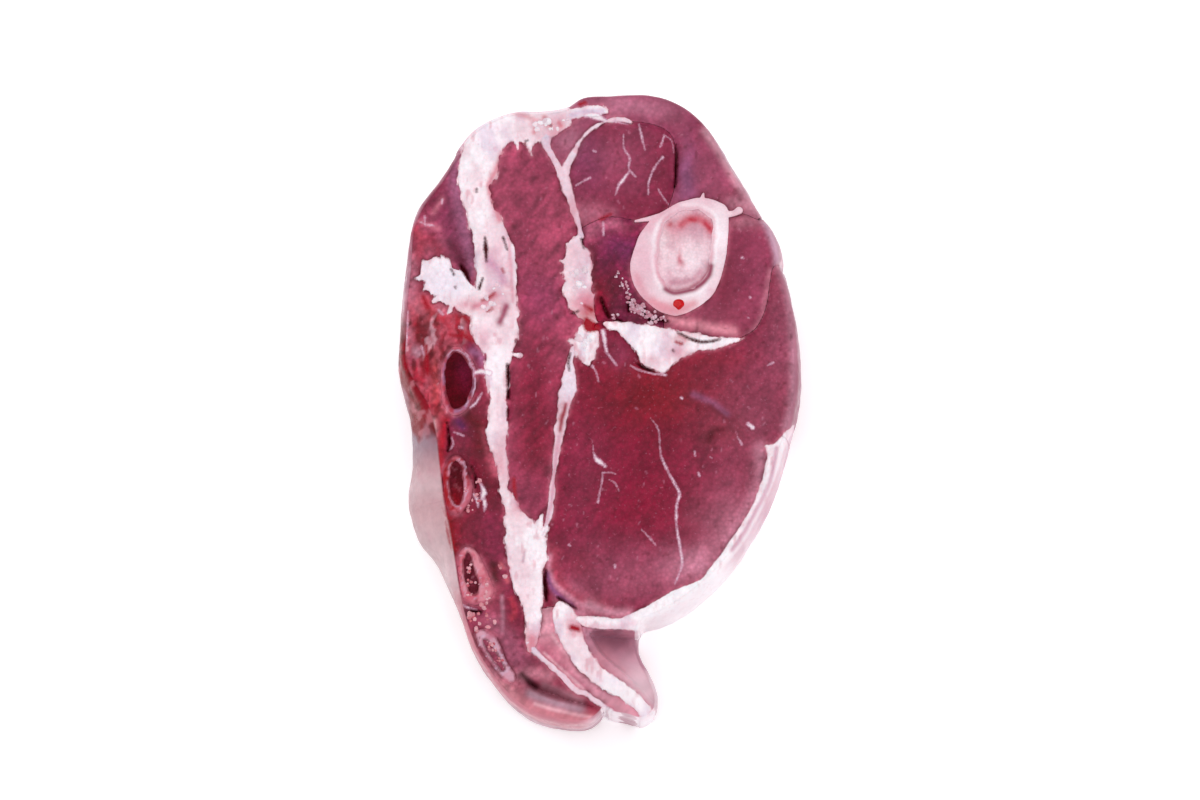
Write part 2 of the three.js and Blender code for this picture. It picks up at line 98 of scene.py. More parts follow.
# Bones: x, y round the cut section
ARM_BONE = [
    (26, 89.7), (31, 93), (38, 96.7), (46, 98.4), (54, 97.2), (59, 93.5), (59.4, 86), (59, 78),
    (57.8, 69), (55.5, 60.5), (51, 52), (44.5, 47), (36.5, 43.6), (29, 45), (21.5, 50.5),
    (16.5, 57.5), (14.5, 65), (16, 73.5), (19.3, 81.5), (23, 86.8),
]
ARM_MARROW = [
    (31, 87.5), (36, 91.5), (43, 93), (49.5, 91), (52.6, 85), (52, 77), (51, 69), (48.5, 61.5),
    (44, 56.5), (38.5, 54.6), (32, 56), (28, 61.5), (26.5, 69), (27.5, 77), (29, 83),
]
RIBS = [
    {"rind": [(-65, 30), (-59.5, 27), (-55.8, 20.5), (-54.8, 13), (-56.5, 5.5), (-60.5, -0.5),
              (-65.3, -1.8), (-69.3, 2), (-71, 9.5), (-71.3, 17.5), (-69.5, 25)],
     "marrow": [(-64.5, 27.2), (-60.6, 24.5), (-57.6, 19), (-56.8, 12.5), (-58.6, 6), (-62, 1.6),
                (-65.5, 1), (-67.8, 5), (-69.2, 12), (-69, 19), (-67.5, 24.5)]},
    {"rind": [(-64, -19.8), (-60.3, -21.8), (-58.3, -28), (-56.3, -35), (-57.5, -42),
              (-61.5, -47), (-66.5, -46.5), (-69.8, -40), (-70.5, -31), (-68, -23)],
     "marrow": [(-64, -22.7), (-61.3, -25), (-60.7, -32), (-60.3, -38.5), (-62.6, -43.2),
                (-65.5, -40.5), (-67, -33), (-66.4, -26)]},
    {"rind": [(-58.5, -61.5), (-54, -64), (-51, -70.5), (-47.5, -76.5), (-46.2, -82), (-50, -87),
              (-56, -87.5), (-60.5, -84.5), (-62.5, -78), (-63, -70), (-61.5, -63.5)],
     "marrow": [(-58.3, -63.8), (-56.2, -67), (-54.8, -73), (-52.6, -79), (-54.5, -83.5),
                (-58, -81.5), (-60, -75), (-60.2, -68)]},
    {"rind": [(-54.8, -99.5), (-50, -98.8), (-45, -102), (-42, -109), (-38.8, -115),
              (-36.2, -120.3), (-38, -122.5), (-42.5, -119.7), (-48.5, -112.5), (-53.2, -106)],
     "marrow": [(-51.5, -102.8), (-47.3, -105), (-44.4, -110.5), (-41, -116.6), (-42.3, -117.4),
                (-46, -112.8), (-49.6, -108)]},
]

RIB_PLACES = (14, -33, -75, -110)

# Fat and membrane seams: x, y, half width along the middle line
CHEST_FAT = [
    [(-19, 136.5, 7), (-26, 135, 9), (-34, 134.5, 10), (-43, 133.7, 10), (-50.5, 128.5, 9.6),
     (-53.2, 120, 9.2), (-54.8, 112, 8.8), (-56.6, 105, 7), (-54.7, 98, 6.5), (-53, 90, 6.8),
     (-49.2, 81, 8.2), (-46.5, 71, 9.1), (-46, 62, 9.2), (-46.5, 52, 9.6), (-47, 43, 10.8),
     (-46.2, 35, 9.8), (-45, 27, 6.4), (-45.8, 18, 5.4), (-45.4, 11, 4.4), (-45.2, 0, 4),
     (-45.4, -12, 4.6), (-44.3, -19, 3.3), (-42.6, -30, 2.1), (-41.8, -37, 2.4),
     (-39.6, -41.5, 2.6), (-37.8, -46, 3.7), (-36.2, -50.5, 5.4), (-33, -58, 8.6),
     (-31.8, -64, 9.2), (-32.3, -70, 8), (-31.4, -78, 6.8), (-29.4, -86.5, 5), (-28.8, -96, 3.8),
     (-29.2, -103, 2.8), (-30.3, -107.5, 1.4)],
    [(-24, 134, 4.6), (-18, 136, 3.4), (-12, 138, 2.6), (-5, 139.4, 2.3), (0, 139.6, 2.2),
     (4, 139, 1.2)],
]
CHEST_LOBE = [
    [(-50, 47, 5.5), (-58, 50.5, 6), (-64, 55, 7.2), (-69.4, 60.2, 8.4), (-75, 64.6, 6.6),
     (-80, 66, 1.5)],
    [(-79, 65, 2), (-82.6, 66.8, 0.3)], [(-77, 67, 2.2), (-79, 71, 0.4)],
    [(-80, 62.6, 1.6), (-83.6, 62, 0.3)], [(-76, 58, 2), (-79, 56, 0.3)],
    [(-72.5, 53, 2), (-74.6, 50.6, 0.4)], [(-70.6, 69, 2), (-71.4, 72, 0.4)],
    [(-66, 48.6, 1.6), (-67.6, 45.6, 0.3)],
]
CENTRE_FAT = [
    [(-7.8, 80.5, 0.9), (-10, 76.5, 3.4), (-9.4, 71.5, 5.6), (-9.6, 65, 6.8), (-8, 61, 5.5),
     (-9.2, 55.5, 6.5), (-7.4, 50.5, 5.8), (-6, 46.5, 4.8), (-4, 43, 3.4), (-3.4, 38.5, 2.6),
     (-5, 34.2, 5), (-5.8, 30.4, 5.8), (-5.4, 26, 4.2), (-4.2, 22, 1.2)],
    [(-13, 67.5, 3), (-16.6, 68.6, 1.2)], [(-13, 61.5, 2.4), (-15.6, 60.4, 0.9)],
    [(-12, 55.5, 2.6), (-15.2, 55, 1.1)], [(-9.6, 48.6, 2.2), (-12.6, 47.6, 1)],
    [(-10.4, 31, 2.2), (-13, 31.8, 0.9)],
]
NECK_SEAM = [
    [(-24, 132.5, 3), (-23.5, 124, 1.8), (-21, 118, 1.4), (-18.5, 113, 1.6), (-15.8, 108, 2.5),
     (-14.2, 103, 2.5), (-12.5, 98, 1.9), (-10.5, 91, 1.6), (-9, 86, 1.2), (-7.8, 80, 1)],
    [(-15.7, 108, 2), (-14, 114, 1.9), (-11.5, 119, 1.3), (-9, 124, 0.8), (-4.5, 129.5, 0.8),
     (0.5, 133, 0.8), (5.5, 134.9, 0.9), (10, 135.4, 0.9), (15, 134.2, 0.7)],
]
STRAP_SEAM = [
    [(-10.8, 28, 1.2), (-12.7, 22.5, 1.4), (-12.9, 17, 2.5), (-13.1, 12, 3.7), (-14.2, 6.5, 3.4),
     (-15.6, 1, 2.8), (-16.6, -5, 2.4), (-17.3, -10, 2.3), (-18.2, -16, 1.6), (-19.2, -24, 1.1),
     (-20.2, -33, 1.1), (-21, -41, 1.1), (-22, -48, 1.3), (-25, -57, 1)],
]
FLAP_FAT = [
    [(-16.5, -88.4, 2.6), (-15, -93, 5.2), (-12.6, -99, 5.4), (-10.3, -105.6, 4.8),
     (-6.8, -111.4, 4.5), (-2.4, -117.2, 3.8), (3, -120.8, 3.7), (9, -124.5, 3.6), (15, -129, 3.6),
     (20, -134, 3), (24, -141, 2.5)],
]
FLAP_SEAM = [
    [(-30.5, -104, 1.3), (-28.5, -108, 1.3), (-24, -112, 1.1), (-20, -115.6, 1.1),
     (-16, -119.3, 1.1), (-12, -123.5, 1.2), (-8.5, -126.5, 1), (-5.5, -127, 1),
     (-1, -130.3, 1.1), (4, -133.3, 1.2), (8, -137, 1), (10, -142, 1)],
]

# Fat with a free outline: x, y
SHANK_FAT = [
    (2, 40.2), (12, 40.3), (21, 39.4), (30, 37.9), (40, 36), (50, 34.2), (60, 33.2), (67, 33.8),
    (60, 30.3), (52, 28), (44, 26.6), (38, 24.3), (33.5, 20.8), (30, 16.6), (25, 18.4),
    (19.3, 21.5), (17.6, 26), (14.5, 30.5), (9.5, 34.8),
]
FAT_COVER = [
    (-13, -93.8), (1, -93.2), (9, -93.9), (16, -91.2), (24, -87), (35, -80.6), (45, -76.6),
    (51, -69.8), (55.4, -64.4), (59.8, -58.2), (64.8, -50.6), (69.8, -41.5), (73.6, -31.5),
    (75.3, -24), (76, -19), (74.8, -15.6), (79, -15.4), (85, -9), (97, -10), (92, -35), (80, -58),
    (62, -80), (40, -96), (18, -99), (8, -98.8), (-2, -98.4),
]

# Slits between muscles that touch without fat: x, y
SLITS = [
    [(13, 135), (22, 134), (28, 132.3), (33, 129), (35.6, 122), (35.4, 112), (34.8, 103),
     (33, 97), (31, 91)],
    [(-8.5, 84), (-3, 87), (3, 89.5), (9, 89.7), (16, 88.4), (26, 88.5)],
    [(57, 92.8), (66, 91.3), (73, 88.6), (88, 83)],
    [(64, 33.2), (70.5, 37), (74, 42), (76.8, 50), (78.3, 60), (80.3, 67), (96, 73)],
    [(30, 48), (29.8, 42), (29.5, 36)],
    [(5, 40.2), (1, 41), (-3, 41.5)],
    [(-28, -90), (-23, -89), (-17, -88)],
    [(-14, -97), (-11, -96), (-8, -96)],
]

# Small spurs that stand off the arm bone and off the chest fat: x, y, half width
BONE_SPURS = [
    [(28, 89.4, 1.7), (22.5, 88.6, 0.9), (17, 87.6, 0.35)],
    [(47.5, 97.5, 1.2), (48.1, 100.4, 0.35)],
    [(58.5, 90.8, 1.7), (62, 91.2, 1.3), (64.3, 92.6, 1.7)],
]
CHEST_SPURS = [
    [(-42, 26.2, 1.6), (-38.6, 26, 0.8), (-36, 25.2, 1.3)],
    [(-25.2, -47.2, 0.4), (-25.7, -50, 1.3), (-27.4, -54, 3)],
    [(-22.4, -51.4, 0.5), (-25, -55.4, 2.2)],
    [(-32.5, 129, 3), (-31.4, 123.5, 1.4), (-30.2, 118.6, 0.4)],
    [(-38, 126, 2), (-36.4, 121.6, 0.4)],
]

# Hollows open upwards: the pocket behind the flap, and the step beside it
POCKET = [
    (-33, -119), (-29, -120), (-24, -122), (-17, -124.3), (-11, -128), (-6, -129),
    (0, -132.3), (3.5, -135), (-1, -134.8), (-8, -133.6), (-17, -131.5), (-26, -128.5),
    (-32, -124),
]
POCKET_DEPTH = 6.5
STEP_EDGE = [
    (-4, -100), (-2.4, -104.3), (0.8, -109.2), (5.4, -113.5), (10.6, -117.7), (15.3, -122.2),
    (20, -127), (24, -131.5), (30, -136),
]
STEP_FAR = [(44, -128), (44, -104), (22, -99.7), (10, -99.4), (2, -99.2)]
STEP_TOP = 53.0
STEP_FALL = 1.15

# Muscles: a point inside each
MUSCLES = {
    "shoulder_muscle": (35, -20), "strap_muscle": (-30, 60), "neck_muscle": (10, 112),
    "cap_muscle": (50, 115), "inner_muscle": (8, 72), "shank_muscle": (68, 60),
    "chest_wall": (-74, 40), "flap_muscle": (-12, -118), "flank_muscle": (18, -112),
}

# Marks on the cut face: x, y, half width. White is fat and sinew, and once a painted highlight; a gap is a
# crevice painted dark, partly its own dark red and partly painted shade.
WHITE_LINES = [
    [(23.5, -3.6, 0.1), (27, -8.5, 0.2), (27.8, -17, 0.25), (28.4, -21, 0.35), (31.1, -27.3, 0.5),
     (35, -34.5, 0.6), (36.6, -38, 0.7), (35.2, -43.4, 0.55), (35.4, -54.7, 0.5), (37, -63.8, 0.6),
     (37.4, -70, 0.5), (34.4, -78.4, 0.3)],
    [(-2.3, -16, 0.2), (-1.9, -19.5, 0.3), (-0.8, -22.4, 0.9), (1, -23.6, 1.2), (3, -25.4, 0.8)],
    [(2.2, -28.7, 0.25), (1.6, -34, 0.35), (0.6, -38, 0.3), (0, -41.6, 0.6)],
    [(5, -31.5, 0.2), (7.5, -33, 0.25), (9.5, -36.5, 0.15)],
    [(2, -28.5, 0.25), (5, -28.3, 0.2), (8, -29, 0.1)],
    [(19.5, -54, 0.15), (22, -56.6, 0.3), (25.8, -61.2, 0.25)],
    [(62.5, -12, 0.2), (64.6, -15.6, 0.4)], [(67.6, -6.2, 0.9), (69.6, -8, 1.0)],
    [(45, -28.3, 0.4), (45.5, -29.8, 0.5)], [(43.3, -18.6, 0.3), (43.6, -21, 0.3)],
    [(37.6, 5.6, 0.5), (38, 5.2, 0.4)], [(50.4, -21.4, 0.4), (51.2, -22, 0.3)],
    [(7.5, -70, 0.5), (7.6, -71, 0.4)], [(-13, -61, 0.4), (-12.4, -61.4, 0.3)],
    [(76.5, 20.6, 0.2), (79.5, 22, 0.35)], [(65.5, 70.5, 0.6), (65.9, 70.3, 0.4)],
    [(69, 52, 0.4), (69.3, 51.8, 0.3)], [(68, 42.5, 0.4), (68.3, 42.3, 0.3)],
    [(11.6, 128.2, 0.15), (12, 121.6, 0.4), (14.5, 117.3, 0.45), (14.1, 112.2, 0.4),
     (17, 108.5, 0.4)],
    [(14.1, 110.6, 0.4), (11.6, 107, 0.7), (9.4, 104, 0.6), (8, 99.8, 0.2)],
    [(18.8, 133.3, 0.3), (20.2, 126, 0.45), (21.6, 120.9, 0.25)],
    [(30.3, 127.5, 0.35), (28.5, 122.4, 0.4)],
    # A painted highlight along a muscle's edge beside the slit, drawn as a white line.
    [(30.3, 128, 0.25), (33.6, 125.6, 0.25), (34.8, 120.2, 0.15)],
    [(29.5, 117.3, 0.7), (28.6, 116.4, 0.3), (26, 112.9, 0.35), (23.1, 105.6, 0.3), (23, 100, 0.1)],
    [(-3.5, 107.8, 0.4), (-7, 106, 0.3), (-10, 104.1, 0.3)], [(2.3, 86.8, 0.5), (2.6, 81, 0.35)],
    [(-2, 120.6, 0.4), (-0.9, 120, 0.25)],
    [(27.4, 102.7, 0.15), (29.6, 99, 0.3), (32.2, 95.6, 0.15)],
    [(13.5, 133.4, 0.5), (7, 134.6, 0.4)], [(-6, 137.4, 0.8), (-1, 137, 1.6), (3.4, 134.8, 0.9)],
    [(2.2, 36.4, 1.1), (3, 32.4, 1.0), (3.8, 27, 0.6), (8.4, 20.4, 0.3)],
    [(-2.6, 20.2, 0.5), (-0.6, 16.6, 0.4), (0.2, 13, 0.15)],
    [(14.6, 20.4, 0.3), (18, 18.6, 0.4), (23, 17.2, 0.4), (30.4, 16, 0.5)],
    [(60.5, 112.4, 0.5), (61.6, 110.4, 0.3)], [(64.4, 105, 0.4), (66, 102.6, 0.6)],
    [(-54, -31, 0.2), (-52.4, -34, 0.7), (-51, -37.4, 1.3), (-52.2, -40.4, 0.7)],
    [(-51.6, -39, 0.5), (-50.6, -43, 0.9), (-51, -46, 0.3)],
    [(-55.6, -38, 0.4), (-54, -41, 0.8), (-53.6, -44, 0.3)],
    [(-64.8, -9.6, 0.3), (-62.4, -10.6, 0.5), (-60.4, -11.4, 0.3)],
    [(-66, -12, 0.3), (-65.2, -15, 0.5), (-67, -17.6, 0.3)],
    [(-55.6, 17.4, 0.9), (-52, 18, 1.4), (-49, 17, 1.4)],
    [(-57.5, 1.6, 0.5), (-55, 3.6, 0.6), (-52.4, 8, 0.4)],
    [(-86.6, 46, 0.5), (-86.6, 38, 0.4), (-87.2, 31, 0.5)], [(-80, 30, 0.5), (-78.6, 26, 0.4)],
    [(-72.4, 47, 0.5), (-70.4, 44.6, 0.4)], [(-62.4, 38.6, 0.9), (-61.6, 38.2, 0.7)],
    [(-71, 97.8, 0.5), (-71.4, 96, 0.3)], [(-81, 87.6, 0.3), (-78.6, 86.6, 0.4), (-75, 86, 0.25)],
    [(-79.2, 90.4, 0.3), (-78.8, 86, 0.4)],
    [(-62.6, -86.6, 0.3), (-58, -88.8, 0.4), (-54, -90, 0.3)],
]
BLOOD_LINES = [
    [(-5.4, 41.4, 1.2), (-3.8, 38.4, 2.8), (-0.6, 38.2, 1.6)],
    [(-52.6, 50.4, 0.4), (-49, 52, 0.6), (-47, 53.6, 0.4)], [(-50, 45.4, 0.3), (-48, 46.4, 0.5)],
    [(-43.4, 64.6, 0.4), (-42.8, 63.4, 0.3)], [(-11.6, -98, 1.2), (-8.8, -98.8, 1)],
    [(-8, 143, 1.0), (-6, 143.4, 0.8)], [(-88.4, 25, 1.2), (-87.4, 20, 1.4), (-87.6, 14, 0.8)],
    [(-86, 12, 0.8), (-83, 5, 1.2), (-80, 1.2, 1.0), (-77.4, -0.6, 0.5)],
    [(-78, 30, 0.5), (-77.4, 22, 0.9), (-77, 17, 0.5)],
    [(-67, 35, 0.6), (-61, 34.6, 0.8), (-56.6, 32, 0.6)],
    [(-70, -36, 0.8), (-69.6, -44, 1.2), (-67.4, -48.6, 1.0)],
    [(-68.2, -50, 1.2), (-67, -57, 1.6), (-65.6, -63, 0.8)],
    [(-37.8, -31, 0.5), (-37.4, -36, 0.7), (-36.8, -40, 0.3)], [(1, 88.5, 0.6), (6, 91, 0.4)],
    [(-6, 48, 0.6), (-3, 46, 1.0)], [(-60.6, 43.6, 0.8), (-58.6, 41.4, 0.7)],
    [(-79.6, 53, 0.6), (-77.4, 48, 0.8)], [(35.4, 31, 0.5), (37.6, 30.4, 0.6)],
]
# Crevices, painted dark: partly their own dark red, partly painted shade that the shallow relief does not
# give.
SHADED_GAP_LINES = [
    [(-51.4, 79.6, 0.3), (-51, 75, 1.0), (-50.7, 68.4, 0.25)],
    [(-52.4, 60.6, 0.3), (-53.8, 56, 0.5)], [(-43.2, 79.4, 0.4), (-41.2, 74, 0.3)],
    [(-65, 57.2, 0.35), (-64.7, 56.6, 0.3)], [(-66.8, 65.4, 0.3), (-65.6, 63, 0.4)],
    [(-55.5, 102.5, 0.35), (-55.3, 101, 0.3)], [(-33, 125, 0.3), (-32.3, 125.4, 0.25)],
    [(-22, 133, 0.3), (-21.5, 132.4, 0.3)], [(-41, 21, 0.5), (-40.6, 14, 0.8), (-40.8, 11, 0.3)],
    [(-40.4, 9.6, 0.6), (-40.6, 6, 0.6)], [(-40.8, 0.6, 0.5), (-40.9, -2.4, 0.3)],
    [(36, 35.7, 0.3), (40, 33.4, 0.5), (44.9, 31.6, 0.6), (50, 31.4, 0.6), (55.2, 32.6, 0.3)],
    [(17.6, 21.6, 0.3), (20.5, 19.8, 0.6), (25.6, 17.6, 0.3)],
    [(33.9, 27.3, 0.45), (34.2, 27, 0.4)], [(14, 52, 0.4), (14, 46, 0.7)],
    [(8.4, 41.6, 0.6), (10.6, 41, 0.5)], [(20, 46.6, 0.5), (24, 41.5, 0.7)],
    [(28, 42, 0.5), (32, 41, 0.4)], [(1.4, 52, 0.5), (3, 47, 1.0), (5, 43, 0.8)],
    [(-12, 44.6, 0.3), (-9, 45.4, 0.4)],
    [(-23.2, -72, 0.3), (-23.7, -77, 0.8), (-23.3, -82, 1.0), (-23, -86, 0.4)],
    [(-18, -84.4, 0.4), (-14, -87, 0.5), (-9.6, -89.4, 0.3)],
    [(35.7, 124, 0.2), (35.9, 120, 0.6), (35.8, 112, 0.8), (35.2, 104, 0.4)],
    [(-62.6, 67.6, 0.6), (-60.6, 64, 1.0), (-58.4, 60, 0.4)],
    [(-68.2, -5, 0.3), (-67, -13, 0.7), (-67.6, -18, 0.4)], [(-56.5, -90.6, 0.6), (-52, -91, 0.5)],
    [(-12.6, 26, 0.3), (-13.4, 22, 0.5), (-12.8, 18, 0.2)],
    [(-57, -25, 0.3), (-55, -30, 0.5), (-55, -35, 0.3)], [(-7.6, 79, 0.4), (-6.4, 74.6, 0.3)],
]
FLECKS = 150                # small pale flecks strewn over the lean


# Curves and fields

def smooth(low, high, value):
    """0 below low, 1 above high, and a soft step between."""
    t = np.clip((value - low) / (high - low), 0.0, 1.0)
    return t * t * (3.0 - 2.0 * t)


def halo(gap, reach):
    """1 inside, falling softly to 0 over the reach outside."""
    return np.exp(-(np.maximum(gap, 0) / reach) ** 2)


def curve(points, closed, step):
    """Evenly spaced rows along a centripetal Catmull-Rom curve through the points."""
    p = np.array(points, float)
    count = len(p)
    pieces = []
    for i in range(count if closed else count - 1):
        b, c = p[i], p[(i + 1) % count]
        a = p[i - 1] if closed or i else 2 * b - c
        d = p[(i + 2) % count] if closed or i + 2 < count else 2 * c - b
        gaps = [max(float(np.linalg.norm(v - u)) ** 0.5, 1e-3) for u, v in ((a, b), (b, c), (c, d))]
        start = ((b - a) / gaps[0] - (c - a) / (gaps[0] + gaps[1]) + (c - b) / gaps[1]) * gaps[1]
        end = ((c - b) / gaps[1] - (d - b) / (gaps[1] + gaps[2]) + (d - c) / gaps[2]) * gaps[1]
        t = np.linspace(0, 1, CURVE_STEPS, endpoint=False)[:, None]
        bend = 2 * b - 2 * c + start + end
        pieces.append(b + start * t + (3 * c - 3 * b - 2 * start - end) * t**2 + bend * t**3)
    dense = np.vstack(pieces + [p[:1] if closed else p[-1:]])
    run = np.concatenate([[0.0], np.cumsum(np.linalg.norm(np.diff(dense[:, :2], axis=0), axis=1))])
    even = np.linspace(0.0, run[-1], max(int(round(run[-1] / step)), 3) + 1)
    rows = np.stack([np.interp(even, run, column) for column in dense.T], 1)
    return rows[:-1] if closed else rows


def near(rows, closed=False, reach=REACH):
    """Distance from the lattice to a line of (x, y, half width), less the half width there."""
    field = np.full(PLAN_X.shape, reach)
    ends = np.roll(rows, -1, 0) if closed else rows[1:]
    for a, b in zip(rows, ends):
        margin = reach + max(a[2], b[2])
        low = np.minimum(a, b)[:2] - margin
        high = np.maximum(a, b)[:2] + margin
        i0, i1 = np.searchsorted(GRID_X, (low[0], high[0]))
        j0, j1 = np.searchsorted(GRID_Y, (low[1], high[1]))
        if i0 == i1 or j0 == j1:
            continue
        part = (slice(j0, j1), slice(i0, i1))
        dx, dy = PLAN_X[part] - a[0], PLAN_Y[part] - a[1]
        ex, ey = (b - a)[:2]
        share = np.clip((dx * ex + dy * ey) / max(ex * ex + ey * ey, 1e-9), 0.0, 1.0)
        gap = np.hypot(dx - share * ex, dy - share * ey) - (a[2] + share * (b[2] - a[2]))
        field[part] = np.minimum(field[part], gap)
    return field


def seam_field(lines):
    """Negative inside any of the seams."""
    return np.minimum.reduce([near(curve(line, False, LINE_STEP)) for line in lines])


def fleck_field():
    """Small pale flecks strewn over the lean, as short strokes of random length."""
    random = np.random.default_rng(77)
    strokes = []
    for _ in range(FLECKS):
        x, y = random.uniform(-40, 86), random.uniform(-88, 140)
        turn, long = random.normal(1.9, 0.5), random.uniform(0.2, 1.6)
        ends = [(x, y), (x + long * math.cos(turn), y + long * math.sin(turn))]
        strokes.append(np.array([(u, v, random.uniform(0.05, 0.4)) for u, v in ends]))
    return np.minimum.reduce([near(stroke, reach=3.0) for stroke in strokes])


def thin_field(lines, half_width):
    """Negative inside lines of one width, given by x, y alone."""
    return seam_field([[(x, y, half_width) for x, y in line] for line in lines])


def outline_field(points):
    """Signed distance to a closed outline, negative inside."""
    rows = curve([p[:2] for p in points], True, LINE_STEP)
    inside = np.zeros(PLAN_X.shape, bool)
    for a, b in zip(rows, np.roll(rows, -1, 0)):
        band = np.nonzero((a[1] > GRID_Y) != (b[1] > GRID_Y))[0]
        if len(band):
            crossing = a[0] + (GRID_Y[band] - a[1]) / (b[1] - a[1]) * (b[0] - a[0])
            inside[band] ^= PLAN_X[band] < crossing[:, None]
    distance = near(np.column_stack([rows, np.zeros(len(rows))]), True)
    return np.where(inside, -distance, distance)


def read(field, x, y):
    """Value of a lattice field anywhere."""
    u = np.clip((x - GRID_X[0]) / CELL, 0, len(GRID_X) - 1.001)
    v = np.clip((y - GRID_Y[0]) / CELL, 0, len(GRID_Y) - 1.001)
    i, j = u.astype(int), v.astype(int)
    u, v = u - i, v - j
    lower = field[j, i] * (1 - u) + field[j, i + 1] * u
    upper = field[j + 1, i] * (1 - u) + field[j + 1, i + 1] * u
    return lower * (1 - v) + upper * v


def noise(x, y, z, size, seed):
    """Smooth noise from -1 to 1 with lumps about size millimetres across."""
    table = np.random.default_rng(seed).uniform(-1, 1, (NOISE_CELLS,) * 3)
    corner, share = [], []
    for value in (x, y, z):
        scaled = np.asarray(value, float) / size + NOISE_SHIFT
        whole = np.floor(scaled)
        t = scaled - whole
        corner.append(whole.astype(int))
        share.append(t * t * (3 - 2 * t))
    total = 0.0
    for a in (0, 1):
        for b in (0, 1):
            for c in (0, 1):
                weight = 1.0
                for bit, t in zip((a, b, c), share):
                    weight = weight * (t if bit else 1 - t)
                spot = [(k + bit) % NOISE_CELLS for k, bit in zip(corner, (a, b, c))]
                total = total + weight * table[spot[0], spot[1], spot[2]]
    return total


def lumps(x, y, z, size, seed, octaves=3):
    """Noise at several sizes, each half as large as the one before."""
    parts = [noise(x, y, z, size / 2**k, seed + k) / 2**k for k in range(octaves)]
    return sum(parts) / 1.5


def ragged(field, size, amount, seed):
    """The field with its border made uneven, coarsely and finely."""
    coarse = amount * lumps(PLAN_X, PLAN_Y, 0.0, size, seed)
    return field + coarse + 0.5 * amount * lumps(PLAN_X, PLAN_Y, 0.0, 2.3, seed + 100, 2)


def toothed(field, size, amount, seed):
    """The field with pointed teeth standing out of its border."""
    ridge = np.abs(lumps(PLAN_X, PLAN_Y, 0.0, size, seed, 2)) - 0.28
    return field + amount * ridge + 0.4 * lumps(PLAN_X, PLAN_Y, 0.0, 2.0, seed + 100, 2)


FIELD = {
    "rim": outline_field(RIM),
    "arm_bone": ragged(np.minimum(outline_field(ARM_BONE), seam_field(BONE_SPURS)), 5, 0.25, 11),
    "arm_bone_marrow": ragged(outline_field(ARM_MARROW), 5, 0.9, 12),
    "chest_fat": np.minimum(ragged(seam_field(CHEST_FAT + CHEST_SPURS), 5, 1.0, 13),
                            toothed(seam_field(CHEST_LOBE), 6, 3.0, 21)),
    "centre_fat": toothed(seam_field(CENTRE_FAT), 5.5, 2.4, 14),
    "neck_seam": ragged(seam_field(NECK_SEAM), 3.5, 0.55, 15),
    "strap_seam": ragged(seam_field(STRAP_SEAM), 4, 0.6, 16),
    "shank_fat": ragged(outline_field(SHANK_FAT), 4.5, 0.8, 17),
    "flap_fat": ragged(seam_field(FLAP_FAT), 5, 0.8, 18),
    "fat_cover": ragged(outline_field(FAT_COVER), 6, 0.4, 19),
    "flap_seam": ragged(seam_field(FLAP_SEAM), 3.5, 0.5, 20),
    "pocket": outline_field(POCKET),
    "step": outline_field(STEP_EDGE + STEP_FAR),
    "step_edge": thin_field([STEP_EDGE], 0.0),
    "slit": thin_field(SLITS, SLIT),
}
for number, rib in enumerate(RIBS, 1):
    FIELD[f"rib_{number}"] = ragged(outline_field(rib["rind"]), 5, 0.5, 30 + number)
    FIELD[f"rib_{number}_marrow"] = ragged(outline_field(rib["marrow"]), 4, 0.6, 40 + number)

MARKS = {"white": WHITE_LINES, "blood": BLOOD_LINES, "gap": SHADED_GAP_LINES}
for kind, lines in MARKS.items():
    FIELD[kind] = -ragged(seam_field(lines), 2.0, 0.25, len(lines))
FIELD["fleck"] = -ragged(fleck_field(), 1.5, 0.15, 49)

FATS = ("chest_fat", "centre_fat", "shank_fat", "flap_fat", "fat_cover")
SINEWS = ("neck_seam", "strap_seam", "flap_seam")
BONES = ("arm_bone",) + tuple(f"rib_{n}" for n in (1, 2, 3, 4))
FIELD["pale"] = np.minimum.reduce([FIELD[name] for name in FATS + SINEWS])
FIELD["seam"] = np.minimum.reduce([FIELD["pale"]] + [FIELD[name] for name in BONES])


# Heights

def face_height(x, y):
    """Height of the upper cut face, before the relief of its pieces."""
    waves = 0.5 * np.sin(x / 17 + 0.6) * np.cos(y / 21) + 0.5 * np.sin((x + y) / 29)
    chest = 2.2 * smooth(50, 66, -x)
    crags = 1.3 * np.sin(x / 4.1) * np.cos(y / 5.3) * smooth(62, 74, -x) * smooth(-6, 8, y)
    foot = 3 * smooth(96, 132, -y) * smooth(8, 30, -x)
    flap = 6.5 * smooth(90, 165, x - y) * smooth(92, 118, -y) * smooth(-30, 0, x)
    return THICK - 0.7 + waves - chest + crags - foot - flap


def open_height(x, y):
    """The cut face with the pocket and the step taken out."""
    height = face_height(x, y)
    height = height - POCKET_DEPTH * smooth(0.2, 4.6, -read(FIELD["pocket"], x, y))
    floor = STEP_TOP - STEP_FALL * np.clip(read(FIELD["step_edge"], x, y), 0, REACH)
    fallen = smooth(0.0, 1.6, -read(FIELD["step"], x, y))
    return height + fallen * (np.minimum(height, floor) - height)


def rim_fall(x, y):
    """The cut face sinks a little where it nears the outer wall."""
    depth = -read(FIELD["rim"], x, y) - INSET
    return 0.9 * np.exp(-np.maximum(depth, 0) / 2.2)


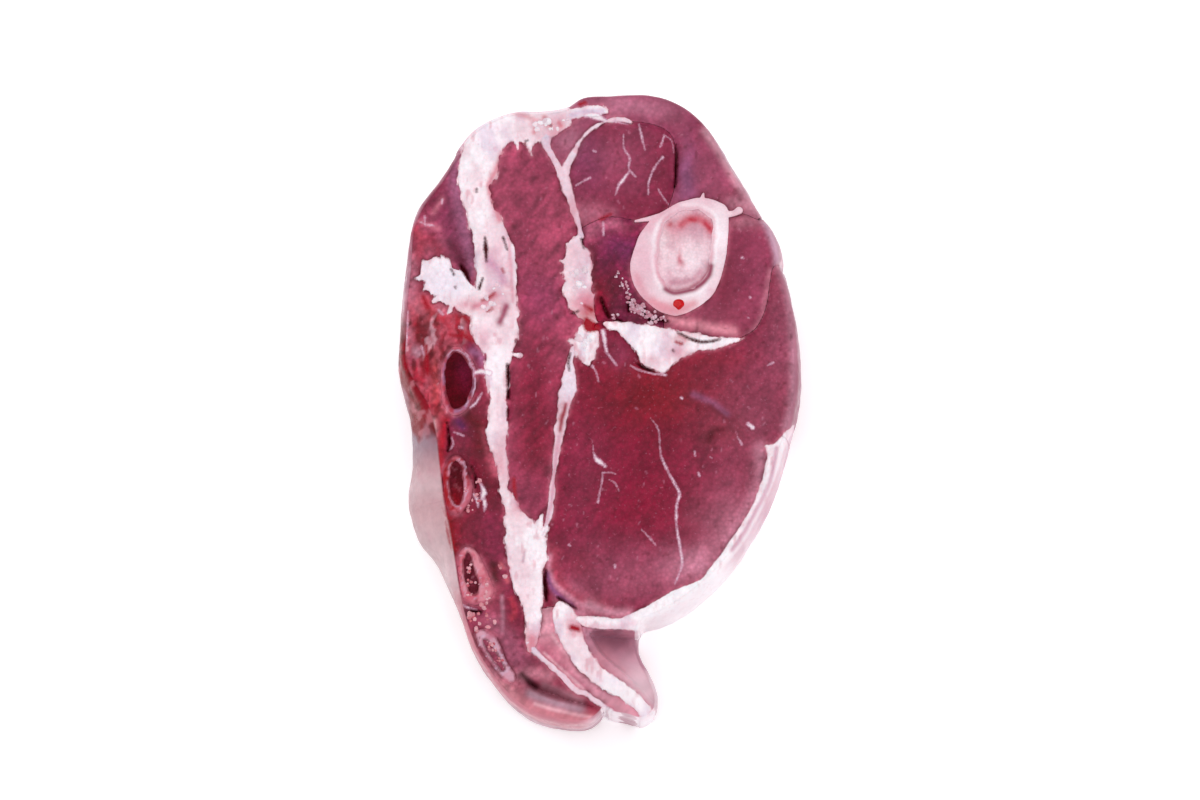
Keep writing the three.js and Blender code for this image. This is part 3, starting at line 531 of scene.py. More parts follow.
def flesh_top(x, y):
    """Upper face of the lean: lower at slits, seams and crevices, craggy where torn."""
    height = open_height(x, y) - rim_fall(x, y)
    height -= 1.2 * halo(read(FIELD["slit"], x, y), 1.7)
    seam = read(FIELD["seam"], x, y)
    height -= 0.25 * halo(seam, 1.8) + 1.2 * smooth(0, 1.2, -seam)
    gap = read(FIELD["gap"], x, y)
    height -= 0.9 * smooth(-3.0, 0.3, gap) + 1.8 * smooth(-0.3, 0.9, gap)
    height += 0.2 * smooth(-0.4, 0.5, read(FIELD["white"], x, y))
    torn = smooth(59, 64, -x) * smooth(-8, 2, y) * smooth(-56, -48, -y)
    height += 1.1 * torn * lumps(x, y, 0.0, 4.5, 53)
    height += 0.28 * lumps(x, y, 0.0, 9, 51) + 0.12 * lumps(x, y, 0.0, 2.2, 52, 2)
    return height


def fat_top(x, y, field, raise_by, coarse):
    """Fat and bone stand a little proud, with rounded edges and their own lumps."""
    edge = np.maximum(-read(field, x, y), 0)
    height = open_height(x, y) - rim_fall(x, y) + raise_by * (1 - np.exp(-edge / 0.9))
    height += coarse * lumps(x, y, 0.0, 4.5, 61) * smooth(0, 1.5, edge)
    height -= 0.6 * smooth(-0.3, 0.9, read(FIELD["gap"], x, y))
    return height + 0.12 * coarse * lumps(x, y, 0.0, 1.5, 62, 2)


def lining(x, y):
    """1 where the wall is the smooth lining of the chest."""
    return smooth(52, 60, -x) * smooth(0, 10, -y) * smooth(-116, -100, y)


def swell(share):
    """How far the wall has swelled between the two cuts, from 0 to 1."""
    return np.sin(np.pi * np.clip(share, 0, 1)) ** 0.75


def wall_relief(x, y, z):
    """Soft folds of the outer wall, and the ribs that show through its lining."""
    ribs = sum(np.exp(-((y - place) / 8) ** 2) for place in RIB_PLACES)
    bend = 1.6 * lumps(x, y, z, 11, 73, 2)
    crease = 0.8 * halo(read(FIELD["slit"], x, y) + bend, 1.8)
    folds = 0.7 * lumps(x, y, z, 16, 71, 2) + 0.3 * lumps(x, y, z, 5, 72)
    return folds + 1.4 * ribs * lining(x, y) - crease


# Meshes

# Polygons of each kind of lattice cell: 0 to 3 are its corners, 4 to 7 the cuts on its sides
CELL_SHAPES = {
    1: ["047"], 2: ["154"], 3: ["0157"], 4: ["265"], 5: ["047", "265"], 6: ["1264"], 7: ["01267"],
    8: ["376"], 9: ["0463"], 10: ["154", "376"], 11: ["01563"], 12: ["7523"], 13: ["04523"],
    14: ["12374"], 15: ["0123"],
}


def cut_cells(field):
    """Corners, polygons and border of the part where the field is below zero."""
    rows, columns = np.nonzero(field < 0)
    window = (slice(rows.min() - 1, rows.max() + 2), slice(columns.min() - 1, columns.max() + 2))
    f, gx, gy = field[window], PLAN_X[window], PLAN_Y[window]
    count = f.size
    node = np.arange(count).reshape(f.shape)
    across, up = node[:, :-1] + count, node[:-1, :] + 2 * count
    corners = [node[:-1, :-1], node[:-1, 1:], node[1:, 1:], node[1:, :-1],
               across[:-1], up[:, 1:], across[1:], up[:, :-1]]
    inside = (f < 0).astype(int)
    case = inside[:-1, :-1] + 2 * inside[:-1, 1:] + 4 * inside[1:, 1:] + 8 * inside[1:, :-1]
    polygons, border = {3: [], 4: [], 5: []}, []
    for kind, shapes in CELL_SHAPES.items():
        here = case == kind
        for shape in shapes:
            digits = [int(d) for d in shape]
            polygons[len(digits)].append(np.stack([corners[d][here] for d in digits], 1))
            for a, b in zip(digits, digits[1:] + digits[:1]):
                if a > 3 and b > 3:
                    border.append(np.stack([corners[a][here], corners[b][here]], 1))
    places = np.full((3 * count, 2), np.nan)
    places[:count] = np.stack([gx.ravel(), gy.ravel()], 1)
    for ids, first, second in ((across, np.s_[:, :-1], np.s_[:, 1:]), (up, np.s_[:-1], np.s_[1:])):
        t = np.clip(f[first] / np.where(f[first] == f[second], 1, f[first] - f[second]), 0.05, 0.95)
        x = gx[first] + t * (gx[second] - gx[first])
        y = gy[first] + t * (gy[second] - gy[first])
        places[ids.ravel()] = np.stack([x.ravel(), y.ravel()], 1)
    polygons = {size: np.vstack(found) for size, found in polygons.items()}
    border = np.vstack(border)
    used = np.unique(np.concatenate([p.ravel() for p in polygons.values()]))
    order = np.zeros(3 * count, int)
    order[used] = np.arange(len(used))
    return places[used], {size: order[p] for size, p in polygons.items()}, order[border]


RIM_ROWS = curve(RIM, True, 1.0)


def rim_frame(x, y):
    """Outward direction and swelling of the outer wall nearest to each place."""
    ahead = np.roll(RIM_ROWS, -1, 0) - np.roll(RIM_ROWS, 1, 0)
    outward = np.stack([-ahead[:, 1], ahead[:, 0]], 1)
    outward /= np.linalg.norm(outward, axis=1)[:, None]
    apart = np.hypot(x[:, None] - RIM_ROWS[None, :, 0], y[:, None] - RIM_ROWS[None, :, 1])
    weight = np.exp(-((apart - apart.min(1)[:, None]) / 0.35) ** 2)
    weight /= weight.sum(1)[:, None]
    direction = weight @ outward
    return direction / np.linalg.norm(direction, axis=1)[:, None], weight @ RIM_ROWS[:, 2]


def wall_depths(height):
    """How far below the cut face each row of the wall lies, for walls of the given heights."""
    edge = FILLET * np.array([0.04, 0.14, 0.3, 0.5, 0.75, 1.0])
    middle = np.linspace(0, 1, WALL_ROWS - 10)[None, 1:-1]
    span = height[:, None] - 2 * FILLET
    ends = np.broadcast_to(edge, (len(height), len(edge)))
    return np.hstack([ends, FILLET + span * middle, height[:, None] - ends[:, ::-1]])


def wall_rows(x, y, top, base, proud):
    """Points down the outer wall below each rim corner, from the second row to the last but one."""
    depth = wall_depths(top - base)
    z = top[:, None] - depth
    rise = z - base[:, None]
    rounding = 0.0
    for from_edge in (depth, rise):
        t = 1 - np.clip(from_edge / FILLET, 0, 1)
        rounding = rounding + INSET * (1 - np.sqrt(np.maximum(1 - t * t, 0)))
    outward, belly = rim_frame(x, y)
    astray = read(FIELD["rim"], x, y) + INSET
    x, y = x - outward[:, 0] * astray, y - outward[:, 1] * astray
    share = rise / (top - base)[:, None]
    out = INSET - rounding + belly[:, None] * swell(share) * ((top - base)[:, None] > THICK / 2)
    steady = smooth(0, 5, np.minimum(depth, rise))
    px, py = x[:, None] + 0 * z, y[:, None] + 0 * z
    out = out + steady * (wall_relief(px, py, z) + proud)
    return np.stack([px + outward[:, :1] * out, py + outward[:, 1:] * out, z], 2)


def slab(field, top, base, proud=0.0):
    """Closed surface of a piece that runs through the meat: points, faces and which points are wall."""
    plan, polygons, border = cut_cells(field)
    x, y = plan.T
    count = len(x)
    high, low = top(x, y), base(x, y)
    edge = np.unique(border)
    rim = edge[read(FIELD["rim"], x[edge], y[edge]) > -INSET - RIM_SLACK]
    ladder = np.zeros((count, WALL_ROWS + 2), int)
    ladder[:, 0], ladder[:, -1] = np.arange(count), np.arange(count) + count
    points = [np.column_stack([x, y, high]), np.column_stack([x, y, low])]
    if len(rim):
        rows = wall_rows(x[rim], y[rim], high[rim], low[rim], proud)
        ladder[rim, 1:-1] = 2 * count + np.arange(rows.shape[0] * rows.shape[1]).reshape(rows.shape[:2])
        points.append(rows.reshape(-1, 3))
    on_rim = np.zeros(count, bool)
    on_rim[rim] = True
    faces = list(polygons.values()) + [p[:, ::-1] + count for p in polygons.values()]
    faces += wall_faces(border, ladder, on_rim)
    points = np.vstack(points)
    side = np.zeros(len(points))
    side[count:2 * count] = -1
    side[2 * count:] = 1
    return points, faces, side


def wall_faces(border, ladder, on_rim):
    """Faces between the two cuts: a grid where both corners have rows, else a fan or one face."""
    a, b = border.T
    both, first, second = on_rim[a] & on_rim[b], on_rim[a] & ~on_rim[b], ~on_rim[a] & on_rim[b]
    plain = ~on_rim[a] & ~on_rim[b]
    left, right = ladder[a], ladder[b]
    faces = [np.stack([right[plain, 0], left[plain, 0], left[plain, -1], right[plain, -1]], 1)]
    for r in range(ladder.shape[1] - 1):
        faces.append(np.stack([right[both, r], left[both, r], left[both, r + 1], right[both, r + 1]], 1))
        faces.append(np.stack([right[first, 0], left[first, r], left[first, r + 1]], 1))
        faces.append(np.stack([left[second, 0], right[second, r + 1], right[second, r]], 1))
    faces.append(np.stack([right[first, 0], left[first, -1], right[first, -1]], 1))
    faces.append(np.stack([left[second, 0], left[second, -1], right[second, -1]], 1))
    return faces


def plan_shift():
    """What moves a plan place into the frame: where the arm bone's solid lies."""
    low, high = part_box("arm_bone")
    rows = curve(ARM_BONE, True, 1.0)
    middle = (rows.min(0) + rows.max(0)) / 2
    return np.array([(low.x + high.x) / 2, (low.y + high.y) / 2, 0.0]) - np.append(middle, 0) / 1000


SHIFT = plan_shift()


def make_mesh(name, points, faces, paint, material):
    """Puts a mesh given in plan millimetres into the frame. Paint maps a name to a value per point."""
    faces = [f for f in faces if len(f)]
    mesh = bpy.data.meshes.new(name)
    mesh.vertices.add(len(points))
    mesh.vertices.foreach_set("co", (points / 1000 + SHIFT).astype(np.float32).ravel())
    loops = np.concatenate([f.ravel() for f in faces])
    sizes = np.concatenate([np.full(len(f), f.shape[1]) for f in faces])
    mesh.loops.add(len(loops))
    mesh.loops.foreach_set("vertex_index", loops.astype(np.int32))
    mesh.polygons.add(len(sizes))
    mesh.polygons.foreach_set("loop_start", (np.cumsum(sizes) - sizes).astype(np.int32))
    mesh.polygons.foreach_set("loop_total", sizes.astype(np.int32))
    mesh.update(calc_edges=True)
    mesh.shade_smooth()
    mesh.set_sharp_from_angle(angle=SHARP)
    for key, values in paint.items():
        if values.ndim == 2:
            layer = mesh.attributes.new(key, "FLOAT_COLOR", "POINT")
            layer.data.foreach_set("color", np.column_stack([values, np.ones(len(values))]).ravel())
        else:
            layer = mesh.attributes.new(key, "FLOAT", "POINT")
            layer.data.foreach_set("value", values)
    mesh.materials.append(material)
    piece = bpy.data.objects.new(name, mesh)
    bpy.context.scene.collection.objects.link(piece)
    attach(piece, "root")
    return piece


# Which muscle owns each place on the plan

def spread(owner, free, side, rounds):
    """Lets every owned cell claim its free neighbours on the same side of a slit."""
    for _ in range(rounds):
        before = np.count_nonzero(owner)
        for axis, shift in ((0, 1), (0, -1), (1, 1), (1, -1)):
            neighbour = np.roll(owner, shift, axis)
            beside = np.roll(side, shift, axis)
            claim = (owner == 0) & free & (neighbour > 0) & ((side == beside) | (side * beside == 0))
            owner[claim] = neighbour[claim]
        if np.count_nonzero(owner) == before:
            break
    return owner


def slit_side():
    """-1 and 1 on the two sides of a slit, 0 away from all slits."""
    best = np.full(PLAN_X.shape, SLIT_REACH)
    side = np.zeros(PLAN_X.shape, int)
    for line in SLITS:
        rows = curve([(x, y, 0) for x, y in line], False, LINE_STEP)
        for a, b in zip(rows, rows[1:]):
            gap = near(np.array([a, b]), reach=SLIT_REACH)
            turn = (b[0] - a[0]) * (PLAN_Y - a[1]) - (b[1] - a[1]) * (PLAN_X - a[0])
            closer = gap < best
            best[closer] = gap[closer]
            side[closer] = np.where(turn[closer] > 0, 1, -1)
    return side


def muscle_owners():
    """Number of the muscle at each lattice point, grown a little way below fat and bone."""
    seams = (CHEST_FAT + CHEST_LOBE, CENTRE_FAT, NECK_SEAM, STRAP_SEAM, FLAP_FAT, FLAP_SEAM)
    barrier = [seam_field(lines) for lines in seams]
    barrier += [outline_field(points) for points in (ARM_BONE, SHANK_FAT, FAT_COVER)]
    free = (np.minimum.reduce(barrier + [FIELD["slit"] - 0.4]) > 0) & (FIELD["rim"] < 0)
    owner = np.zeros(PLAN_X.shape, int)
    for number, (x, y) in enumerate(MUSCLES.values(), 1):
        owner[np.searchsorted(GRID_Y, y), np.searchsorted(GRID_X, x)] = number
    nowhere = np.zeros(PLAN_X.shape, int)
    owner = spread(owner, free, nowhere, SPREAD_ROUNDS)
    return spread(owner, FIELD["rim"] < 3, SIDE, int(UNDERLAP / CELL))


SIDE = slit_side()
OWNER = muscle_owners()


def muscle_field(number):
    """Negative inside one muscle, with clean edges along the slits."""
    field = np.maximum(FIELD["rim"] + INSET, -FIELD["slit"])
    beyond = np.where(SIDE != 0, np.maximum(FIELD["slit"] + 2 * SLIT, CELL / 2), CELL / 2)
    return np.where(OWNER == number, field, np.maximum(field, beyond))


# Colours

LIGHT = 1.08                # light that falls on the cut face
SHEEN = 0.012               # what the gloss adds to every colour


def tone(red, green, blue):
    """Linear colour from an 8-bit screen colour, allowing for the light and the gloss."""
    value = np.array([red, green, blue]) / 255
    linear = np.where(value <= 0.04045, value / 12.92, ((value + 0.055) / 1.055) ** 2.4)
    return np.maximum(linear / LIGHT - SHEEN, 0.2 * linear)


CRIMSON = tone(136, 34, 60)
DEEP_RED = tone(116, 24, 48)
DARK_RED = tone(92, 10, 40)
PLUM = tone(142, 56, 82)
MAUVE = tone(152, 72, 98)
ROSE = tone(164, 76, 100)
PALE_MAUVE = tone(188, 116, 140)
VIOLET = tone(116, 52, 98)
BRIGHT_RED = tone(180, 42, 56)
BLOOD = tone(160, 0, 44)
SALMON = tone(196, 96, 106)
LAVENDER = tone(205, 176, 204)
FAT_WHITE = tone(255, 243, 249)
FAT_PINK = tone(236, 196, 208)
FAT_RED = tone(214, 122, 142)
BONE_PALE = tone(240, 212, 221)
BONE_PINK = tone(226, 172, 188)
GREY_PINK = tone(194, 148, 154)
SILVER = tone(190, 142, 158)
LILAC_GREY = tone(150, 126, 142)
THREAD = tone(220, 172, 196)
RIB_LINE = tone(208, 172, 196)
CORE_RED = tone(90, 0, 36)
# Colour of crevices: dark red and painted shade.
HOLLOW_RED_AND_SHADE = tone(76, 4, 32)

# Soft patches: x, y, reach in x and y, colour, strength
PATCHES = {
    "shoulder_muscle": [
        (26, 6, 34, 18, tone(122, 6, 36), 0.8), (-6, -38, 12, 36, PLUM, 0.5),
        (76, 26, 12, 26, PLUM, 0.5), (66, -8, 16, 16, MAUVE, 0.5), (58, -44, 22, 24, PLUM, 0.8),
        (62, -58, 16, 18, tone(202, 130, 152), 0.7), (30, -82, 24, 14, PLUM, 0.8),
        (0, -74, 26, 14, MAUVE, 0.5), (50, -11, 8, 6, DARK_RED, 0.6),
        (10, -44, 16, 8, DARK_RED, 0.3), (58, -8, 10, 9, tone(134, 18, 46), 0.5),
        (-8, -70, 8, 6, DEEP_RED, 0.6), (18, 18, 16, 5, BRIGHT_RED, 0.3),
        (50, 24, 16, 4, BRIGHT_RED, 0.25), (70, -6, 26, 44, tone(170, 104, 124), 0.2),
        (24, -78, 34, 10, tone(190, 104, 128), 0.35), (10, 26, 7, 8, PLUM, 0.8),
        (42, -69, 13, 7, tone(216, 148, 170), 0.75), (84, 40, 8, 36, tone(168, 96, 120), 0.4),
        (28, -66, 22, 9, tone(176, 88, 116), 0.45), (28, -40, 26, 22, tone(140, 26, 54), 0.35),
        (-7, -90, 6, 5, tone(222, 144, 168), 0.8), (-13, -85, 5, 6, tone(216, 136, 162), 0.7),
    ],
    "strap_muscle": [
        (-24, 118, 14, 16, PLUM, 0.6), (-34, 74, 7, 30, PLUM, 0.5),
        (-30, 8, 10, 16, tone(124, 18, 44), 0.6), (-28, 4, 12, 40, CRIMSON, 0.8),
        (-27, -16, 9, 18, tone(118, 22, 48), 0.7), (-30, -38, 10, 10, PLUM, 0.5),
        (-25, 52, 10, 12, VIOLET, 0.25), (-20, 128, 10, 6, FAT_RED, 0.4),
    ],
    "neck_muscle": [
        (4, 120, 14, 12, tone(176, 98, 124), 0.3), (2, 130, 12, 7, CRIMSON, 0.35),
        (-6, 118, 8, 14, VIOLET, 0.3), (-14, 127, 5, 7, tone(208, 140, 166), 0.9),
        (-13, 138, 9, 4.5, LAVENDER, 0.75), (30, 108, 6, 20, CRIMSON, 0.45),
        (-2, 88, 5, 9, BRIGHT_RED, 0.2), (-4, 93, 7, 4, ROSE, 0.5), (18, 95, 14, 6, CRIMSON, 0.45),
        (-5, 91, 9, 5, tone(190, 108, 132), 0.65),
    ],
    "cap_muscle": [
        (14, 142, 24, 6, PALE_MAUVE, 0.75), (-14, 126, 7, 6, PALE_MAUVE, 0.8),
        (41, 106, 4.5, 12, tone(140, 84, 124), 0.6), (41, 118, 3.5, 12, tone(140, 84, 124), 0.35),
        (62, 100, 10, 7, tone(150, 70, 90), 0.5), (67, 94, 8, 4, tone(212, 144, 162), 0.7),
        (46, 128, 18, 10, PLUM, 0.4),
    ],
    "inner_muscle": [
        (12, 74, 10, 10, VIOLET, 0.5), (8, 62, 8, 9, DEEP_RED, 0.6), (6, 52, 6, 9, DARK_RED, 0.6),
        (0, 47, 4.5, 8, tone(186, 40, 70), 0.8), (-3, 70, 4, 12, tone(116, 16, 44), 0.6),
        (14, 84, 12, 5, CRIMSON, 0.5), (-5, 83, 6, 5, tone(180, 98, 122), 0.6),
        (3, 86, 8, 3, tone(196, 108, 134), 0.75), (22, 46, 12, 6, DARK_RED, 0.7),
        (0, 56, 4, 7, tone(116, 12, 40), 0.8),
    ],
    "shank_muscle": [
        (70, 70, 12, 16, PLUM, 0.6), (50, 44, 22, 6, ROSE, 0.45), (74, 60, 5, 20, MAUVE, 0.5),
        (58, 62, 4, 18, DEEP_RED, 0.35), (68, 88, 8, 4, tone(200, 128, 146), 0.6),
    ],
    "chest_wall": [
        (-74, 92, 12, 14, PLUM, 0.8), (-84, 46, 6, 9, tone(190, 76, 94), 0.7),
        (-66, 78, 9, 22, VIOLET, 0.35), (-70, 32, 20, 24, BRIGHT_RED, 0.55),
        (-84, 24, 10, 26, ROSE, 0.4), (-76, 76, 8, 11, tone(196, 104, 128), 0.65),
        (-77, 47, 9, 6, tone(222, 134, 156), 0.95), (-80, 40, 10, 12, SALMON, 0.4),
        (-73, 6, 4, 18, SALMON, 0.85), (-52, -30, 11, 28, DEEP_RED, 0.85),
        (-66, -56, 6, 12, BLOOD, 0.75), (-71, -34, 3.5, 20, BLOOD, 0.5),
        (-40, -70, 8, 22, PLUM, 0.6), (-52, -93, 10, 8, ROSE, 0.5),
        (-50, -80, 5, 8, tone(200, 92, 112), 0.75), (-38, -94, 5, 12, CRIMSON, 0.6),
        (-36, -114, 12, 12, MAUVE, 0.7), (-38, -127, 9, 7, tone(202, 114, 132), 0.8),
        (-30, -133, 16, 6, tone(206, 120, 136), 0.8), (-8, -137, 14, 4, SALMON, 0.6),
        # The violet patch at -62, -6 is a painted purple-blue sheen on the muscle below the first rib.
        (-56, 26, 5, 8, VIOLET, 0.5), (-62, -6, 5, 5, VIOLET, 0.4),
    ],
    "flap_muscle": [
        (-16, -112, 10, 10, tone(196, 108, 130), 0.6), (-23, -108, 6, 6, tone(172, 84, 106), 0.65),
        (4, -124, 14, 6, PALE_MAUVE, 0.4),
    ],
    "flank_muscle": [
        # Painted shade: the first flank patch darkens the lean under the edge of the fat cover.
        (5, -103, 12, 5, tone(166, 106, 126), 0.9), (2, -111, 5, 6, tone(218, 142, 158), 0.7),
        (9, -118, 5, 6, tone(220, 150, 166), 0.7), (20, -124, 9, 14, tone(222, 186, 196), 0.9),
    ],
    "chest_fat": [
        (-24, 130, 14, 7, FAT_PINK, 0.8), (-38, 110, 6, 16, FAT_PINK, 0.3),
        (-44, 86, 4, 26, FAT_PINK, 0.7), (-40, 50, 3, 30, FAT_PINK, 0.6),
        (-49, 66, 5, 8, FAT_RED, 0.4), (-46, 50, 6, 7, FAT_RED, 0.5),
        (-56, 48, 6, 4, FAT_RED, 0.45), (-43, -24, 5, 13, tone(216, 142, 160), 0.75),
        (-43, -2, 6, 14, FAT_PINK, 0.6), (-36, -44, 4, 6, FAT_RED, 0.6),
        (-34, -84, 5, 14, FAT_PINK, 0.6), (-30, -104, 6, 6, FAT_RED, 0.6),
        (-51, 31, 5, 7, tone(222, 164, 182), 0.7), (-18, 136, 6, 4, tone(218, 160, 178), 0.65),
        (-20, 130, 5, 4, FAT_RED, 0.5), (-70, 60, 13, 9, tone(242, 230, 242), 0.9),
        (-60, 47, 4, 3, FAT_RED, 0.4),
    ],
    "centre_fat": [
        (-5, 50, 8, 8, FAT_RED, 0.9), (-10, 72, 7, 10, FAT_PINK, 0.8),
        (-3, 44, 5, 4, BRIGHT_RED, 0.7),
    ],
    "strap_seam": [(-15.5, -4, 1.8, 7, BRIGHT_RED, 0.75), (-19, -26, 3, 16, FAT_PINK, 0.8)],
    "neck_seam": [
        (-18, 112, 8, 10, FAT_PINK, 0.7), (-12, 92, 4, 10, FAT_RED, 0.6),
        (8, 134, 8, 3, FAT_PINK, 0.8),
    ],
    "flap_seam": [(-10, -122, 20, 14, FAT_PINK, 0.7)],
    "shank_fat": [
        (34, 34, 6, 4, FAT_PINK, 0.4), (22, 30, 7, 6, FAT_WHITE, 0.7), (38, 33, 3, 2, SALMON, 0.6),
        (37, 26.5, 5, 4, tone(214, 140, 158), 0.65), (24, 21, 5, 3, tone(216, 160, 174), 0.65),
    ],
    "flap_fat": [
        (-8, -97, 6, 4, FAT_RED, 0.8), (-3, -106, 5, 10, FAT_PINK, 0.2),
        (10, -127, 12, 8, tone(254, 246, 250), 0.8),
    ],
    "fat_cover": [(40, -80, 36, 16, tone(255, 248, 252), 0.85)],
    "arm_bone": [
        (20, 68, 6, 20, BONE_PINK, 0.65), (42, 95, 18, 4, FAT_PINK, 0.5),
        (30, 48, 10, 5, FAT_PINK, 0.4), (36.5, 48, 5, 4, SALMON, 0.5),
        (56, 80, 4, 14, FAT_WHITE, 0.6), (44, 50, 10, 5, FAT_WHITE, 0.6),
    ],
    "rib_1_marrow": [(-60.6, 18, 4, 8, tone(122, 38, 64), 0.6)],
    "rib_2_marrow": [(-64, -41, 3, 5, tone(150, 18, 38), 0.6)],
    "arm_bone_marrow": [
        (33, 84, 4, 4, tone(216, 134, 154), 0.5), (41, 72, 9, 12, FAT_WHITE, 0.6),
        # Painted shade: the pale mauve patch at 45, 83 darkens the marrow's upper right.
        (36, 82, 9, 8, tone(206, 110, 130), 0.4), (45, 83, 8, 6, PALE_MAUVE, 0.5),
        (29.5, 76, 3, 9, tone(246, 222, 228), 0.7), (37, 69.5, 1.3, 3.6, tone(198, 90, 110), 0.85),
        (32.8, 87, 1.6, 2, BRIGHT_RED, 0.7),
    ],
}

